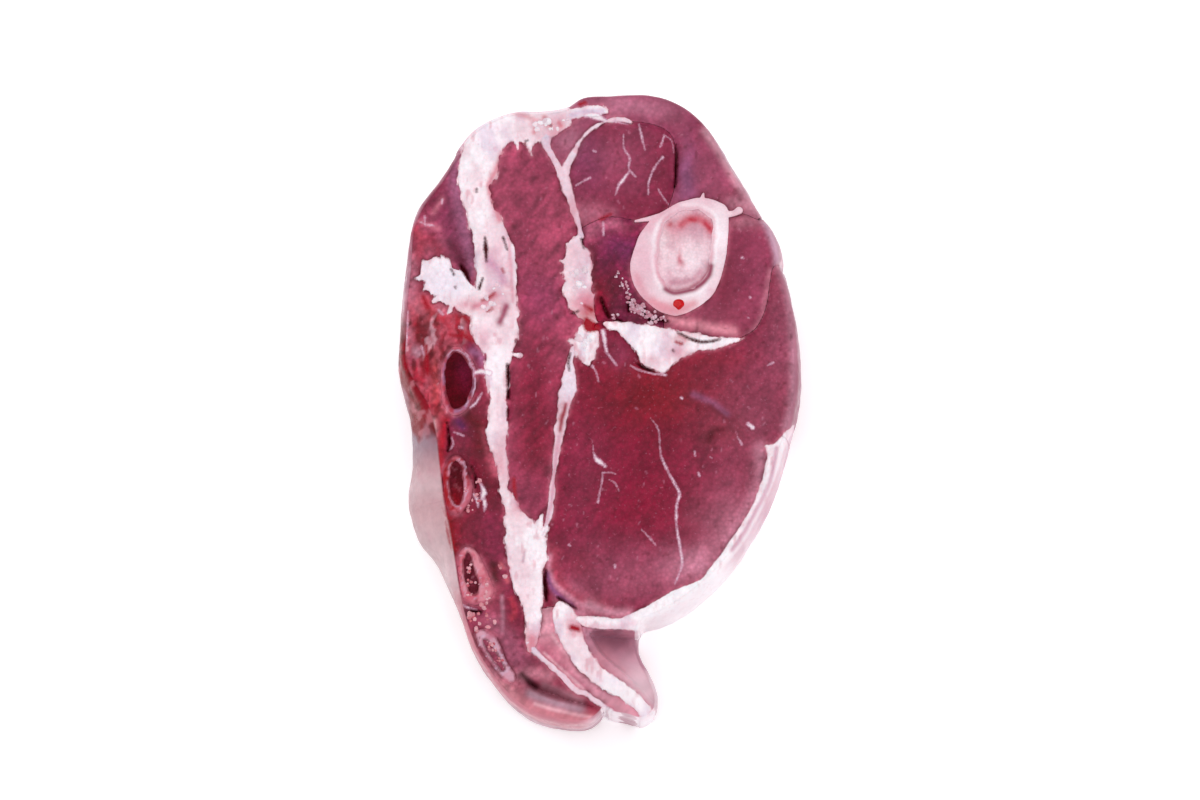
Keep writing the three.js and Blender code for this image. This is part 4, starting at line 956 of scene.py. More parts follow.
# Soft lines of colour: points, reach, colour, strength
STAINS = {
    "arm_bone_marrow": [
        # Painted shade: the first stain darkens the crescent along the marrow's lower edge.
        ([(50.5, 67), (49.5, 63), (47, 60), (44, 57.5), (41, 55.8), (38, 55.2), (34.5, 55),
         (31.5, 56.3)], 1.2, tone(160, 66, 90), 0.75),
        ([(38, 86), (41.6, 88.6), (46, 88.4), (50, 86), (51.5, 83)], 2.4, tone(200, 70, 88), 0.8),
        ([(33, 59.4), (38, 58.6), (43, 60.4), (46.4, 64)], 1.5, tone(192, 116, 138), 0.55),
        ([(42, 88.4), (44.6, 87.6)], 1.0, tone(186, 40, 58), 0.8),
        ([(49, 86), (50.8, 84)], 1.1, tone(180, 36, 56), 0.8),
    ],
    "shoulder_muscle": [
        # Painted light and shade: these three stains shade the lower-left edge as it rolls down into the
        # crevice, from pink to violet-grey.
        ([(-20, -64), (-20.5, -71), (-17.5, -77.5), (-13, -82), (-7, -86), (3, -89)], 3,
         tone(176, 70, 92), 0.8),
        ([(-21.5, -66), (-22, -72), (-19.6, -78.4), (-15, -82.6), (-8.6, -86.8), (0, -90)], 1.2,
         tone(214, 136, 158), 0.9),
        ([(-22.6, -74), (-20.6, -80), (-16.6, -84.4), (-11, -88)], 1.2, tone(140, 84, 130), 0.85),
        ([(60, -60), (67, -48), (71.4, -37), (73.4, -27), (73, -18)], 3.6, tone(208, 136, 158),
         0.75),
        ([(50, -14), (52, -9), (56, -8.5)], 1.2, DARK_RED, 0.7),
        # Painted lavender highlight along the violet smear.
        ([(43, 7), (48, 5), (54, 2), (58, -1.4)], 1.6, tone(156, 100, 138), 0.45),
        ([(50, 2), (55, -1), (58, -4)], 1.2, tone(104, 12, 40), 0.5),
        ([(82, 70), (86.5, 54), (88.4, 40), (89, 24), (88.6, 8), (85, -8)], 2.6,
         tone(206, 150, 170), 0.6),
        ([(-4, -87.6), (5, -91), (14, -91.6)], 2.2, tone(216, 146, 166), 0.8),
    ],
    "shank_muscle": [
        ([(66, 33), (72, 38.5), (75, 45), (77, 56), (78.5, 64)], 1.7, tone(196, 118, 138), 0.75),
        ([(31, 43), (38, 40.6), (45, 39), (53, 37.4), (61, 36.4)], 2.6, tone(226, 144, 160), 0.8),
        ([(76, 89), (80, 81), (82, 72), (83, 66)], 2.2, tone(214, 176, 198), 0.85),
    ],
    "neck_muscle": [
        ([(34, 128), (34.6, 118), (34, 108)], 1.1, ROSE, 0.5),
        ([(-9, 86), (-4, 88.6), (1, 90.6), (7, 91.4)], 2.2, tone(188, 108, 130), 0.4),
    ],
    "chest_wall": [
        ([(-63, 117), (-65, 108), (-63.5, 98), (-60.5, 86), (-58.5, 74), (-58, 64)], 4,
         tone(170, 104, 138), 0.7),
        ([(-66, 77), (-62.6, 70), (-60.5, 65)], 2.3, tone(84, 18, 46), 0.75),
        ([(-71, 98), (-75, 92)], 1.4, FAT_RED, 0.6),
        ([(-81, 88), (-77, 86.4), (-73, 85)], 1.2, FAT_RED, 0.7),
        ([(-85, 48), (-84, 42)], 2.6, tone(196, 92, 110), 0.8),
        ([(-84, 84), (-80, 78), (-83, 72)], 3.4, tone(178, 60, 76), 0.6),
        ([(-76, 80), (-73, 74)], 2.8, tone(150, 40, 60), 0.6),
        ([(-85, 72), (-84, 62), (-85.5, 52)], 2.4, tone(204, 120, 142), 0.7),
        ([(-78, 50), (-74, 44), (-69, 41), (-64, 42)], 3, tone(192, 50, 62), 0.8),
        ([(-66, 37), (-61, 36), (-56, 33.5)], 1.6, tone(190, 44, 58), 0.8),
        ([(-87.5, 46), (-86, 34), (-87.5, 28)], 2.2, tone(198, 122, 142), 0.8),
        ([(-83, 40), (-81, 34)], 2.0, tone(150, 50, 62), 0.7),
        ([(-76, 38), (-75, 30)], 1.6, tone(190, 110, 126), 0.7),
        ([(-82.5, 28), (-80, 26)], 2.6, tone(196, 140, 158), 0.85),
        ([(-80.5, 13), (-79, 8)], 2.4, tone(182, 80, 96), 0.75),
        ([(-85, 8), (-81, 14), (-79, 20)], 1.2, tone(196, 90, 104), 0.7),
        ([(-72.9, 27), (-73.2, 16), (-72.5, 6), (-70.8, 0)], 1.9, tone(198, 84, 92), 0.95),
        ([(-69, -4), (-70.2, -14), (-71.2, -24), (-71.6, -34), (-70.8, -42)], 1.9,
         tone(180, 34, 50), 0.9),
        ([(-57, 27), (-53.5, 26), (-52, 22)], 1.8, tone(176, 108, 148), 0.8),
        # Painted purple-blue sheen on the muscle below the first rib.
        ([(-63.4, -4), (-61, -7)], 1.8, tone(92, 44, 96), 0.75),
        ([(-58, -3), (-53, -8), (-52, -16)], 4, tone(106, 8, 38), 0.9),
        ([(-50.4, -10), (-48.4, -19), (-46.2, -28)], 2.4, tone(196, 92, 112), 0.55),
        ([(-67.4, -50), (-66.4, -57), (-65.2, -63)], 2.2, tone(142, 6, 24), 0.9),
        ([(-48.5, -50), (-46, -62), (-43.5, -72)], 4.6, tone(138, 46, 74), 0.7),
        ([(-43.6, -69.4), (-42.6, -71)], 1.1, tone(220, 110, 124), 0.85),
        ([(-41.2, -75), (-40.6, -77)], 1, tone(214, 98, 112), 0.85),
        ([(-42.9, -84), (-42.2, -92), (-42.6, -100)], 0.9, tone(196, 136, 156), 0.7),
        ([(-38.6, -85), (-37, -90), (-38.4, -94)], 1.3, tone(200, 62, 82), 0.75),
        ([(-63.6, -80), (-62, -90)], 2, tone(214, 136, 150), 0.8),
        ([(-57, -91), (-52, -92)], 2, tone(116, 46, 70), 0.6),
        ([(-46, -96), (-41, -103), (-37, -110)], 5, tone(170, 100, 122), 0.6),
        ([(-46.6, -70), (-46, -76)], 2.2, tone(84, 4, 28), 0.85),
        ([(-74.4, -4), (-74.2, -14), (-73.6, -24)], 1.5, tone(214, 168, 174), 0.8),
        ([(-58.8, -102), (-54, -112), (-47, -121.6), (-40, -128.4)], 2.8, tone(218, 136, 150), 0.9),
        ([(-38, -104), (-35, -112), (-31, -119)], 3.4, tone(158, 80, 104), 0.6),
        ([(-46, -118), (-40, -118.6), (-34, -119.4), (-28, -118), (-22, -119)], 3,
         tone(208, 130, 148), 0.8),
        ([(-46, -124), (-40, -127.6)], 2.6, tone(232, 178, 190), 0.7),
        ([(-44, -125), (-36, -131.6), (-26, -136.4), (-14, -138.8), (-2, -140)], 1.3,
         tone(206, 116, 130), 0.8),
        ([(-30, -127), (-18, -131.6), (-8, -133.6)], 2.4, tone(182, 140, 156), 0.95),
        ([(-28, -131.4), (-19, -134.4), (-8, -136.4), (2, -138)], 0.9, tone(238, 186, 196), 0.8),
        ([(-42, -124), (-34, -131), (-24, -136.4), (-12, -138.4), (0, -139.4)], 2.6,
         tone(216, 138, 150), 0.85),
        ([(-24, -123.6), (-16, -126.8), (-8, -130)], 2.0, tone(168, 112, 126), 0.9),
        # Painted shade: the near-black stain darkens the upper corner of the pocket.
        ([(-33.6, -118.6), (-31, -121.4), (-27.6, -123.6)], 1.6, tone(60, 14, 26), 0.9),
    ],
    "chest_fat": [
        ([(-43.4, 119), (-46.4, 111), (-49.4, 104), (-47.4, 96), (-45.2, 88)], 1.6,
         tone(216, 120, 138), 0.8),
        ([(-40.4, 79), (-39.6, 70), (-39.4, 60), (-38.6, 50)], 0.7, tone(222, 150, 168), 0.7),
        ([(-49, 68), (-45, 64), (-43, 59)], 2.2, tone(206, 150, 178), 0.8),
        ([(-56, 47), (-52, 49), (-46, 53)], 1.4, FAT_RED, 0.7),
        ([(-41.4, 48), (-43, 44), (-44.6, 40.4)], 1.6, tone(150, 50, 84), 0.9),
        ([(-42, -12), (-41.6, -20), (-41, -30)], 1.3, FAT_PINK, 0.9),
        ([(-32.6, -64), (-33.4, -69)], 0.6, tone(200, 150, 168), 0.8),
        ([(-30, -103), (-29.6, -108)], 2.2, tone(216, 130, 146), 0.8),
        ([(-38, 139), (-33, 137), (-28, 135), (-22, 133)], 1.6, tone(214, 110, 122), 0.5),
        ([(-24.6, 137), (-22.6, 134.6)], 1.3, tone(202, 92, 106), 0.7),
        ([(-18, 134), (-17, 132.4)], 1.1, tone(206, 96, 110), 0.7),
        ([(-28.6, 131.4), (-29.4, 129.4)], 1.1, tone(210, 110, 122), 0.7),
        ([(-12, 137), (-5, 139), (2, 139.4)], 1.6, LAVENDER, 0.7),
    ],
    "fat_cover": [
        ([(80.6, -17), (77.6, -30), (73.4, -40.6), (68.4, -50), (63.4, -58), (60, -63)], 1.1,
         tone(214, 158, 180), 0.85),
        ([(84, -20), (81, -32), (76, -43)], 1.0, tone(246, 222, 230), 0.7),
        ([(-2, -97), (8, -97.6), (16, -95.6)], 1.6, tone(232, 190, 206), 0.6),
    ],
    "strap_seam": [
        ([(-14.4, 3), (-15.6, -3), (-16.8, -9.4)], 0.8, tone(150, 22, 50), 0.95),
        ([(-17.6, -12), (-19.4, -26), (-20.6, -40), (-22.6, -51)], 0.9, tone(208, 142, 164), 0.7),
    ],
    "centre_fat": [([(-2.6, 76), (-2.8, 66), (-1.6, 54)], 0.8, tone(220, 140, 160), 0.7)],
    "cap_muscle": [
        ([(50, 130), (57, 119), (63, 108), (69, 99), (74, 92)], 2.4, tone(222, 162, 178), 0.8),
    ],
    "flap_muscle": [
        ([(-26, -106), (-18, -113.4), (-10, -121), (-4, -126)], 1.1, tone(184, 96, 120), 0.65),
        ([(-20, -101), (-14, -109), (-7, -116.6), (0, -123)], 0.9, tone(236, 184, 196), 0.6),
        ([(-15, -104), (-11, -110), (-4, -119), (6, -126)], 0.9, tone(190, 104, 126), 0.5),
        ([(-24, -109), (-15, -117.4), (-6, -125.6)], 0.6, tone(240, 196, 206), 0.6),
    ],
    "arm_bone": [
        ([(25, 50), (30, 46.8), (37, 46), (43.6, 49)], 2.4, tone(220, 138, 150), 0.75),
        # Painted shade: the second stain darkens the same crescent round the marrow's lower edge.
        ([(51.4, 66.6), (50.4, 62), (47.6, 58.6), (44.6, 56.4), (41.4, 55), (38, 54.2), (34, 54.2),
         (30.6, 56)], 1.3, tone(140, 50, 78), 0.95),
        ([(17, 62), (21, 53.5), (28, 47.4), (34, 45)], 2.2, tone(226, 152, 168), 0.6),
        ([(22, 84), (28, 90), (36, 94.6)], 1.8, tone(228, 168, 184), 0.6),
    ],
}

# The two tones of each rib and how clear its pale line is, and how much paler than blood its core is
RIB_TONES = {
    "rib_1": (tone(176, 60, 78), tone(168, 108, 142), 0.85),
    "rib_2": (tone(160, 24, 42), tone(200, 104, 122), 0.5),
    "rib_3": (tone(206, 100, 118), tone(218, 138, 152), 0.35),
    "rib_4": (tone(196, 120, 142), tone(212, 156, 174), 0.6),
}
CORE_PALENESS = {
    "rib_1_marrow": 0.0,
    "rib_2_marrow": 0.1,
    "rib_3_marrow": 0.25,
    "rib_4_marrow": 1.0,
}

# Shreds of the torn chest wall: size, seed, where they start and are full, colour, strength
TORN = [
    (6, 212, -0.2, 0.4, tone(190, 40, 60), 0.7), (5, 213, 0.1, 0.4, tone(120, 14, 36), 0.7),
    (4.4, 215, 0.1, 0.4, tone(204, 96, 114), 0.65), (3.4, 216, 0.3, 0.5, tone(230, 174, 188), 0.65),
    (2.8, 217, 0.25, 0.45, tone(100, 4, 26), 0.7),
]

# Size of the fibre bundles in millimetres, and how strongly they show
STREAK = {
    "shoulder_muscle": (2.8, 0.22), "strap_muscle": (2.6, 0.46), "neck_muscle": (2.4, 0.2),
    "cap_muscle": (3.0, 0.18), "inner_muscle": (2.6, 0.3), "shank_muscle": (2.6, 0.15),
    "chest_wall": (2.4, 0.26), "flap_muscle": (2.6, 0.3), "flank_muscle": (4.0, 0.1),
}
FLECKED = ("shoulder_muscle", "strap_muscle", "neck_muscle", "cap_muscle", "shank_muscle")

BASE_TONE = {
    "shoulder_muscle": CRIMSON,
    "strap_muscle": tone(168, 72, 98),
    "neck_muscle": PLUM,
    "cap_muscle": MAUVE,
    "inner_muscle": tone(128, 44, 76),
    "shank_muscle": tone(142, 58, 82),
    "chest_wall": tone(138, 48, 70),
    "flap_muscle": tone(218, 150, 166),
    "flank_muscle": tone(192, 132, 152),
}


def blend(tint, colour, amount):
    """The tint moved towards the colour by an amount for each point."""
    return tint + (colour - tint) * amount[:, None]


def evenly(colour, places):
    """The same colour at every one of the places."""
    return np.repeat(colour[None], len(places), 0)


def patched(name, tint, x, y):
    """Soft patches and lines of colour, with their edges broken up."""
    wx = x + 2.2 * lumps(x, y, 0.0, 8, 201)
    wy = y + 2.2 * lumps(x, y, 0.0, 8, 202)
    for px, py, rx, ry, colour, amount in PATCHES.get(name, []):
        tint = blend(tint, colour, amount * np.exp(-((wx - px) / rx) ** 2 - ((wy - py) / ry) ** 2))
    wx, wy = x + 0.25 * (wx - x), y + 0.25 * (wy - y)
    for points, reach, colour, amount in STAINS.get(name, []):
        gap = read(thin_field([points], 0.0), wx, wy)
        tint = blend(tint, colour, amount * halo(gap, reach))
    return tint


def torn_tone(tint, x, y):
    """Bloody shreds where the chest wall was torn."""
    area = smooth(58, 64, -x) * smooth(-6, 4, y) * smooth(-50, -40, -y)
    wx, wy = x + 2.2 * lumps(x, y, 0.0, 6, 211), 0.42 * y + 1.2 * lumps(x, y, 0.0, 5, 214)
    for size, seed, low, high, colour, amount in TORN:
        tint = blend(tint, colour, area * amount * smooth(low, high, lumps(wx, wy, 0.0, size, seed, 2)))
    return tint


def chest_lining(tint, x, y, z):
    """The smooth grey lining of the chest, paler over the ribs."""
    chest = lining(x, y) * smooth(0, 4, THICK + 1 - z) * smooth(0, 3, z)
    grey = blend(evenly(GREY_PINK, x), LILAC_GREY, smooth(-30, -8, y) * 0.9)
    grey = blend(grey, tone(240, 222, 226), 0.35 * np.exp(-((y + 62) / 16) ** 2))
    grey = grey * (1 + 0.06 * lumps(x, y, z, 16, 224, 2))[:, None]
    tint = blend(tint, grey, chest * 0.95)
    ribs = sum(np.exp(-((y - place) / 7) ** 2) for place in RIB_PLACES)
    tint = blend(tint, tone(222, 192, 198), chest * ribs * 0.6)
    strip = smooth(78, 92, -y) * smooth(24, 46, z) * (1 - smooth(-12, 2, x))
    tint = blend(tint, tone(216, 138, 152), strip * 0.85)
    tint = blend(tint, PALE_MAUVE, chest * smooth(0.2, 0.6, lumps(x, y, z, 9, 225)) * 0.2)
    return torn_side(tint, x, y, z)


def torn_side(tint, x, y, z):
    """Torn meat that hangs over the upper half of the wall, above the lining."""
    along, up = y + 9 * lumps(x, y, z, 12, 281), z + 14 * lumps(x, y, z, 11, 284)
    area = smooth(66, 72, -x) * smooth(-13, -6, along) * (1 - smooth(30, 56, along)) * smooth(26, 44, up)
    torn = evenly(tone(140, 26, 44), x)
    torn = blend(torn, tone(200, 120, 132), 0.7 * smooth(0.05, 0.4, lumps(x, y, 0.4 * z, 4.4, 282, 2)))
    torn = blend(torn, tone(104, 8, 28), 0.8 * smooth(0.1, 0.4, lumps(x, y, 0.4 * z, 3.4, 283, 2)))
    return blend(tint, torn, area)


def skin_tone(tint, x, y, z):
    """Thin silvery skin over the lean of the outer wall."""
    low = smooth(0, 5, z) * smooth(0, 5, THICK - 1.5 - z)
    tint = blend(tint, SILVER, low * (0.45 + 0.4 * smooth(-0.5, 0.6, lumps(x, y, z * 0.7, 20, 221))))
    streak = smooth(0.2, 0.6, lumps(x * 0.3, y * 0.3, z, 5, 226, 2))
    tint = blend(tint, PLUM, low * streak * 0.3)
    return chest_lining(tint, x, y, z)


def wall_lean(x, y, z):
    """Lean as it shows through the skin of the outer wall."""
    tint = evenly(tone(150, 66, 90), x)
    tint = blend(tint, CRIMSON, 0.6 * smooth(0.0, 0.6, lumps(x, y, z, 18, 271)))
    return blend(tint, PALE_MAUVE, 0.7 * smooth(-0.1, 0.5, lumps(x, y, z * 1.6, 14, 272)))


def rind_tone(tint, x, y, z):
    """Fat of the outer wall, veiled in pink and mauve."""
    low = smooth(0, 4, THICK - 1.5 - z)
    below = smooth(60, 76, -y) * smooth(-14, 6, x)
    tint = blend(tint, FAT_PINK, low * (0.45 - 0.4 * below))
    veil = smooth(-0.4, 0.5, lumps(x, y, z, 17, 228))
    tint = blend(tint, tone(206, 146, 168), low * veil * (0.5 - 0.4 * below))
    right = np.exp(-((y + 42) / 16) ** 4) * smooth(56, 64, x) * smooth(30, 44, z)
    tint = blend(tint, tone(208, 150, 172), 0.5 * low * right)
    return chest_lining(tint, x, y, z)


def open_cut(x, y):
    """1 on the sawn face, and less in the smooth hollows."""
    hollow = np.minimum(read(FIELD["pocket"], x, y), read(FIELD["step"], x, y))
    calm = 0.3 * smooth(98, 106, -y) * smooth(-30, -22, x) + 0.8 * smooth(124, 130, -y)
    return 1 - np.minimum(0.85 * smooth(-1.0, 1.5, -hollow) + calm, 0.9)


def marks(x, y, z, side, kinds=MARKS):
    """How deep each point lies in each kind of crisp mark, fading just below the upper edge."""
    found = {"cut": np.where(side == 1, 0.0, open_cut(x, y))}
    below = np.where(side == 1, 0.6 * np.maximum(THICK - 2 - z, 0), 0.0)
    for kind in MARKS:
        found[kind] = read(FIELD[kind], x, y) - below if kind in kinds else np.full(len(x), NO_MARK)
    return found


def lean_tone(name, x, y):
    """Cut lean: soft patches, bundles of fibre, small flecks, and beside fat and bone painted shade in
    places, pink in others.
    """
    tint = patched(name, evenly(BASE_TONE[name], x), x, y)
    if name == "chest_wall":
        tint = torn_tone(tint, x, y)
    along, across = (x + 1.2 * y) / 1.56, (1.2 * x - y) / 1.56
    bundles = lumps(along * 0.45, across, 0.0, STREAK[name][0], 261, 2)
    tint = tint * (1 + STREAK[name][1] * bundles + 0.08 * lumps(x, y, 0.0, 16, 262))[:, None]
    drawn = lumps(along * 0.3, across, 0.0, 7, 267, 2)
    tint = tint * (1 + 0.13 * drawn)[:, None]
    tint = blend(tint, DARK_RED, 0.35 * open_cut(x, y) * smooth(0.45, 0.7, lumps(x, y, 0.0, 2.5, 265, 2)))
    if name in FLECKED:
        tint = blend(tint, PALE_MAUVE, 0.6 * smooth(-0.35, 0.3, read(FIELD["fleck"], x, y)))
    # Painted shade beside fat and bone where the noise calls it shaded; a pink border elsewhere.
    beside = halo(read(FIELD["seam"], x, y), 1.1)
    shaded = smooth(-0.2, 0.3, lumps(x, y, 0.0, 9, 266, 2))
    tint = blend(tint, DARK_RED, 0.5 * beside * shaded)
    return blend(tint, FAT_RED, 0.4 * beside * (1 - shaded))


def fat_tone(name, x, y):
    """Cut fat: white with pink and lilac clouds drawn out along the seam."""
    tint = evenly(FAT_WHITE, x)
    if name in SINEWS:
        tint = blend(tint, LAVENDER, np.full(len(x), 0.35))
    tint = blend(tint, FAT_PINK, 0.5 * smooth(0.0, 0.6, lumps(x, 0.5 * y, 0.0, 6, 231)))
    tint = blend(tint, FAT_RED, 0.4 * smooth(0.35, 0.6, lumps(x, 0.45 * y, 0.0, 2.6, 232, 2)))
    tint = blend(tint, LAVENDER, 0.4 * smooth(0.1, 0.6, lumps(x, 0.5 * y, 0.0, 7, 233)))
    edge = np.maximum(-read(FIELD[name], x, y), 0)
    tint = blend(tint, FAT_RED, 0.4 * np.exp(-edge / 0.5))
    return patched(name, tint, x, y)


def colour_grid(owners, names, tone_of, within):
    """Colour at every lattice point that is within reach, by whose place it is."""
    grid = np.tile(FAT_PINK, PLAN_X.shape + (1,))
    for number, name in names:
        here = (owners == number) & within
        grid[here] = tone_of(name, PLAN_X[here], PLAN_Y[here])
    return grid


def read_colour(grid, x, y):
    """Colour of a grid anywhere."""
    return np.stack([read(grid[..., channel], x, y) for channel in range(3)], 1)


PALE = FATS + SINEWS
NEAREST_PALE = np.argmin([FIELD[name] for name in PALE], 0)
LEAN = colour_grid(OWNER, list(enumerate(MUSCLES, 1)), lean_tone, OWNER > 0)
FAT = colour_grid(NEAREST_PALE, list(enumerate(PALE)), fat_tone, FIELD["pale"] < 4)
FRAY_OF = {"chest_fat": 0.8, "centre_fat": 0.8, "shank_fat": 0.6, "flap_fat": 0.5}
FRAY = np.array([FRAY_OF.get(name, 0.3) for name in PALE])[NEAREST_PALE]


def flesh_paint(name, points, side):
    """Colours of lean and fat, and the distance to the border between them, at every point."""
    x, y, z = points.T
    lean, fat = read_colour(LEAN, x, y), read_colour(FAT, x, y)
    edge = read(FIELD["pale"], x, y)
    wall = (side == 1)[:, None]
    low = smooth(0.5, 7, THICK - z) * 0.85
    lean = np.where(wall, skin_tone(blend(lean, wall_lean(x, y, z), low), x, y, z), lean)
    fat = np.where(wall, rind_tone(blend(fat, FAT_WHITE, low), x, y, z), fat)
    veil = smooth(-0.25, 0.5, lumps(x, y, z * 1.2, 26, 222) + 0.5 * lumps(x, y, z * 1.7, 7, 223))
    veil *= 0.55 * smooth(0, 4, z) * smooth(0, 5, THICK - 1.5 - z) * (1 - lining(x, y))
    lean = np.where(wall, blend(lean, fat, veil), lean)
    beside = 0.7 * halo(read(FIELD["slit"], x, y) + 0.8 * lumps(x, y, z, 7, 229), 1.1)
    lean = np.where(wall, blend(lean, FAT_PINK, beside * smooth(1, 8, THICK - z)), lean)
    spill = smooth(1.5, 8, THICK - z) * (3.2 * lumps(x, y, z, 9, 227) - 2.0)
    edge = np.where(side == 1, edge + spill, edge)
    fray = np.where(side == 1, 0.6, read(FRAY, x, y))
    return {"lean": lean, "fat": fat, "edge": edge, "fray": fray} | marks(x, y, z, side)


def plain_paint(tint, found):
    """The same colour for lean and fat, for a piece that has no border between them."""
    count = len(tint)
    return {"lean": tint, "fat": tint, "edge": np.full(count, FAR_INSIDE), "fray": np.zeros(count)} | found


def bone_paint(name, points, side):
    """Colours of a bone and the marks on it."""
    x, y, z = points.T
    if name != "arm_bone":
        return plain_paint(rib_tone(name, x, y, z), marks(x, y, z, side))
    tint = evenly(BONE_PALE, x)
    tint = blend(tint, BONE_PINK, 0.6 * smooth(0.0, 0.5, lumps(x, y, z, 6, 242)))
    inner = read(FIELD["arm_bone_marrow"], x, y)
    tint = blend(tint, FAT_WHITE, 0.7 * np.exp(-((inner - 2.2) / 0.9) ** 2))
    tint = blend(tint, FAT_RED, 0.5 * np.exp(-((inner - 0.3) / 0.7) ** 2))
    tint = blend(tint, BONE_PINK, 0.7 * np.exp(-np.maximum(-read(FIELD[name], x, y), 0) / 0.8))
    return plain_paint(patched(name, tint, x, y), marks(x, y, z, side, ("blood", "gap")))


def rib_tone(name, x, y, z):
    """A thin pale line round the core; outside it the bone runs into the meat."""
    red, pale, ring = RIB_TONES[name]
    tint = evenly(red, x)
    tint = blend(tint, pale, smooth(-0.3, 0.4, lumps(x, y, z, 3.5, 241) + 0.02 * (x + 60)))
    wobble = 0.7 * lumps(x, y, z, 2.6, 245, 2)
    inner, outer = read(FIELD[f"{name}_marrow"], x, y) + wobble, wobble - read(FIELD[name], x, y)
    tint = blend(tint, read_colour(LEAN, x, y), 0.9 * smooth(-1.5, -0.4, -outer))
    aside = x - (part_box(name)[0].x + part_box(name)[1].x) * 500 + SHIFT[0] * 1000
    strength = smooth(-0.1, 0.35, lumps(x, y, z, 3.4, 243) + 0.07 * aside)
    tint = blend(tint, RIB_LINE, ring * strength * np.exp(-((inner - 0.8) / 0.45) ** 2))
    squiggle = np.abs(lumps(x, y, z, 3.4, 246, 2)) + 0.1 * np.abs(inner - 1.6)
    tint = blend(tint, RIB_LINE, 0.6 * (1 - smooth(0.03, 0.14, squiggle)) * smooth(-0.2, 0.2, x + 63))
    tint = blend(tint, DARK_RED, 0.7 * halo(inner, 0.4))
    return blend(tint, DARK_RED, 0.5 * smooth(0.3, 0.6, lumps(x, y, z, 1.6, 244, 2)))


def marrow_paint(name, points, side):
    """Colours of marrow: pale in the arm bone, blood red in the ribs."""
    x, y, z = points.T
    if name == "arm_bone_marrow":
        tint = evenly(tone(234, 190, 202), x)
        tint = blend(tint, PALE_MAUVE, 0.5 * smooth(0.0, 0.5, lumps(x, y, z, 4, 251)))
    else:
        share = CORE_PALENESS[name]
        tint = evenly(CORE_RED + share * (tone(160, 76, 98) - CORE_RED), x)
        tint = blend(tint, tone(70, 0, 16), 0.6 * smooth(-0.1, 0.4, lumps(x, y, z, 3, 253)))
        tint = blend(tint, tone(214, 140, 156), share * smooth(0.3, 0.45, lumps(x, y, z, 1.6, 252, 2)))
    return plain_paint(patched(name, tint, x, y), marks(x, y, z, side, ("gap",)))


# Materials

def add(tree, kind, inputs=(), **settings):
    """A node with its settings, and each input either linked or set."""
    made = tree.nodes.new(kind)
    for key, value in settings.items():
        setattr(made, key, value)
    for key, value in dict(inputs).items():
        if isinstance(value, bpy.types.NodeSocket):
            tree.links.new(value, made.inputs[key])
        else:
            made.inputs[key].default_value = value
    return made


def mixed(tree, amount, first, second, how="MIX"):
    """Two colours mixed by an amount."""
    inputs = {0: amount, 6: first, 7: second}
    return add(tree, "ShaderNodeMix", inputs, data_type="RGBA", blend_type=how).outputs[2]


def ramp(tree, value, low, high, to_low=0.0, to_high=1.0):
    """A value from low to high, mapped to another range."""
    inputs = {"Value": value, "From Min": low, "From Max": high, "To Min": to_low, "To Max": to_high}
    return add(tree, "ShaderNodeMapRange", inputs).outputs["Result"]


def maths(tree, how, first, second):
    return add(tree, "ShaderNodeMath", {0: first, 1: second}, operation=how).outputs[0]


def grain(tree, place, size_mm, detail=3.0, roughness=0.55):
    """Noise with grains of a size in millimetres."""
    inputs = {"Vector": place, "Scale": 1000 / size_mm, "Detail": detail, "Roughness": roughness}
    return add(tree, "ShaderNodeTexNoise", inputs).outputs["Fac"]


def value_of(tree, name):
    """A number that the mesh holds for each point."""
    return add(tree, "ShaderNodeAttribute", attribute_name=name).outputs["Fac"]


def colour(linear):
    return (*linear, 1.0)


# Fibre size and bump depth in millimetres, contrast and specks, roughness from and to, softness
LOOKS = {
    "red_muscle": dict(fascicle=1.7, depth=0.16, contrast=0.14, specks=0.35, rough=(0.36, 0.56), soft=0.1),
    "pale_muscle": dict(fascicle=2.0, depth=0.16, contrast=0.12, specks=0.35, rough=(0.36, 0.56), soft=0.1),
    "dark_muscle": dict(fascicle=2.2, depth=0.3, contrast=0.22, specks=0.3, rough=(0.3, 0.52), soft=0.1),
    "torn_muscle": dict(fascicle=2.2, depth=0.35, contrast=0.18, specks=0.25, rough=(0.26, 0.5), soft=0.1),
    "membrane": dict(fascicle=2.6, depth=0.1, contrast=0.06, specks=0.1, rough=(0.3, 0.5), soft=0.15),
    "fat": dict(fascicle=2.2, depth=0.25, contrast=0.05, specks=0.0, rough=(0.42, 0.6), soft=0.2),
    "sinew": dict(fascicle=1.6, depth=0.15, contrast=0.05, specks=0.0, rough=(0.34, 0.52), soft=0.15),
    "bone": dict(fascicle=1.0, depth=0.08, contrast=0.04, specks=0.0, rough=(0.4, 0.6), soft=0.1),
    "marrow": dict(fascicle=1.3, depth=0.2, contrast=0.07, specks=0.1, rough=(0.42, 0.62), soft=0.15),
    "rib_marrow": dict(fascicle=1.0, depth=0.3, contrast=0.2, specks=0.0, rough=(0.4, 0.6), soft=0.05),
}
GLOSS, COAT = 0.12, 0.05    # of most pieces
DULL = {"rib_marrow": (0.04, 0.01)}
COAT_ROUGHNESS = 0.2
SOFT_RADIUS = (1.0, 0.35, 0.3)
SOFT_REACH = 0.0025         # metres that light travels in the meat


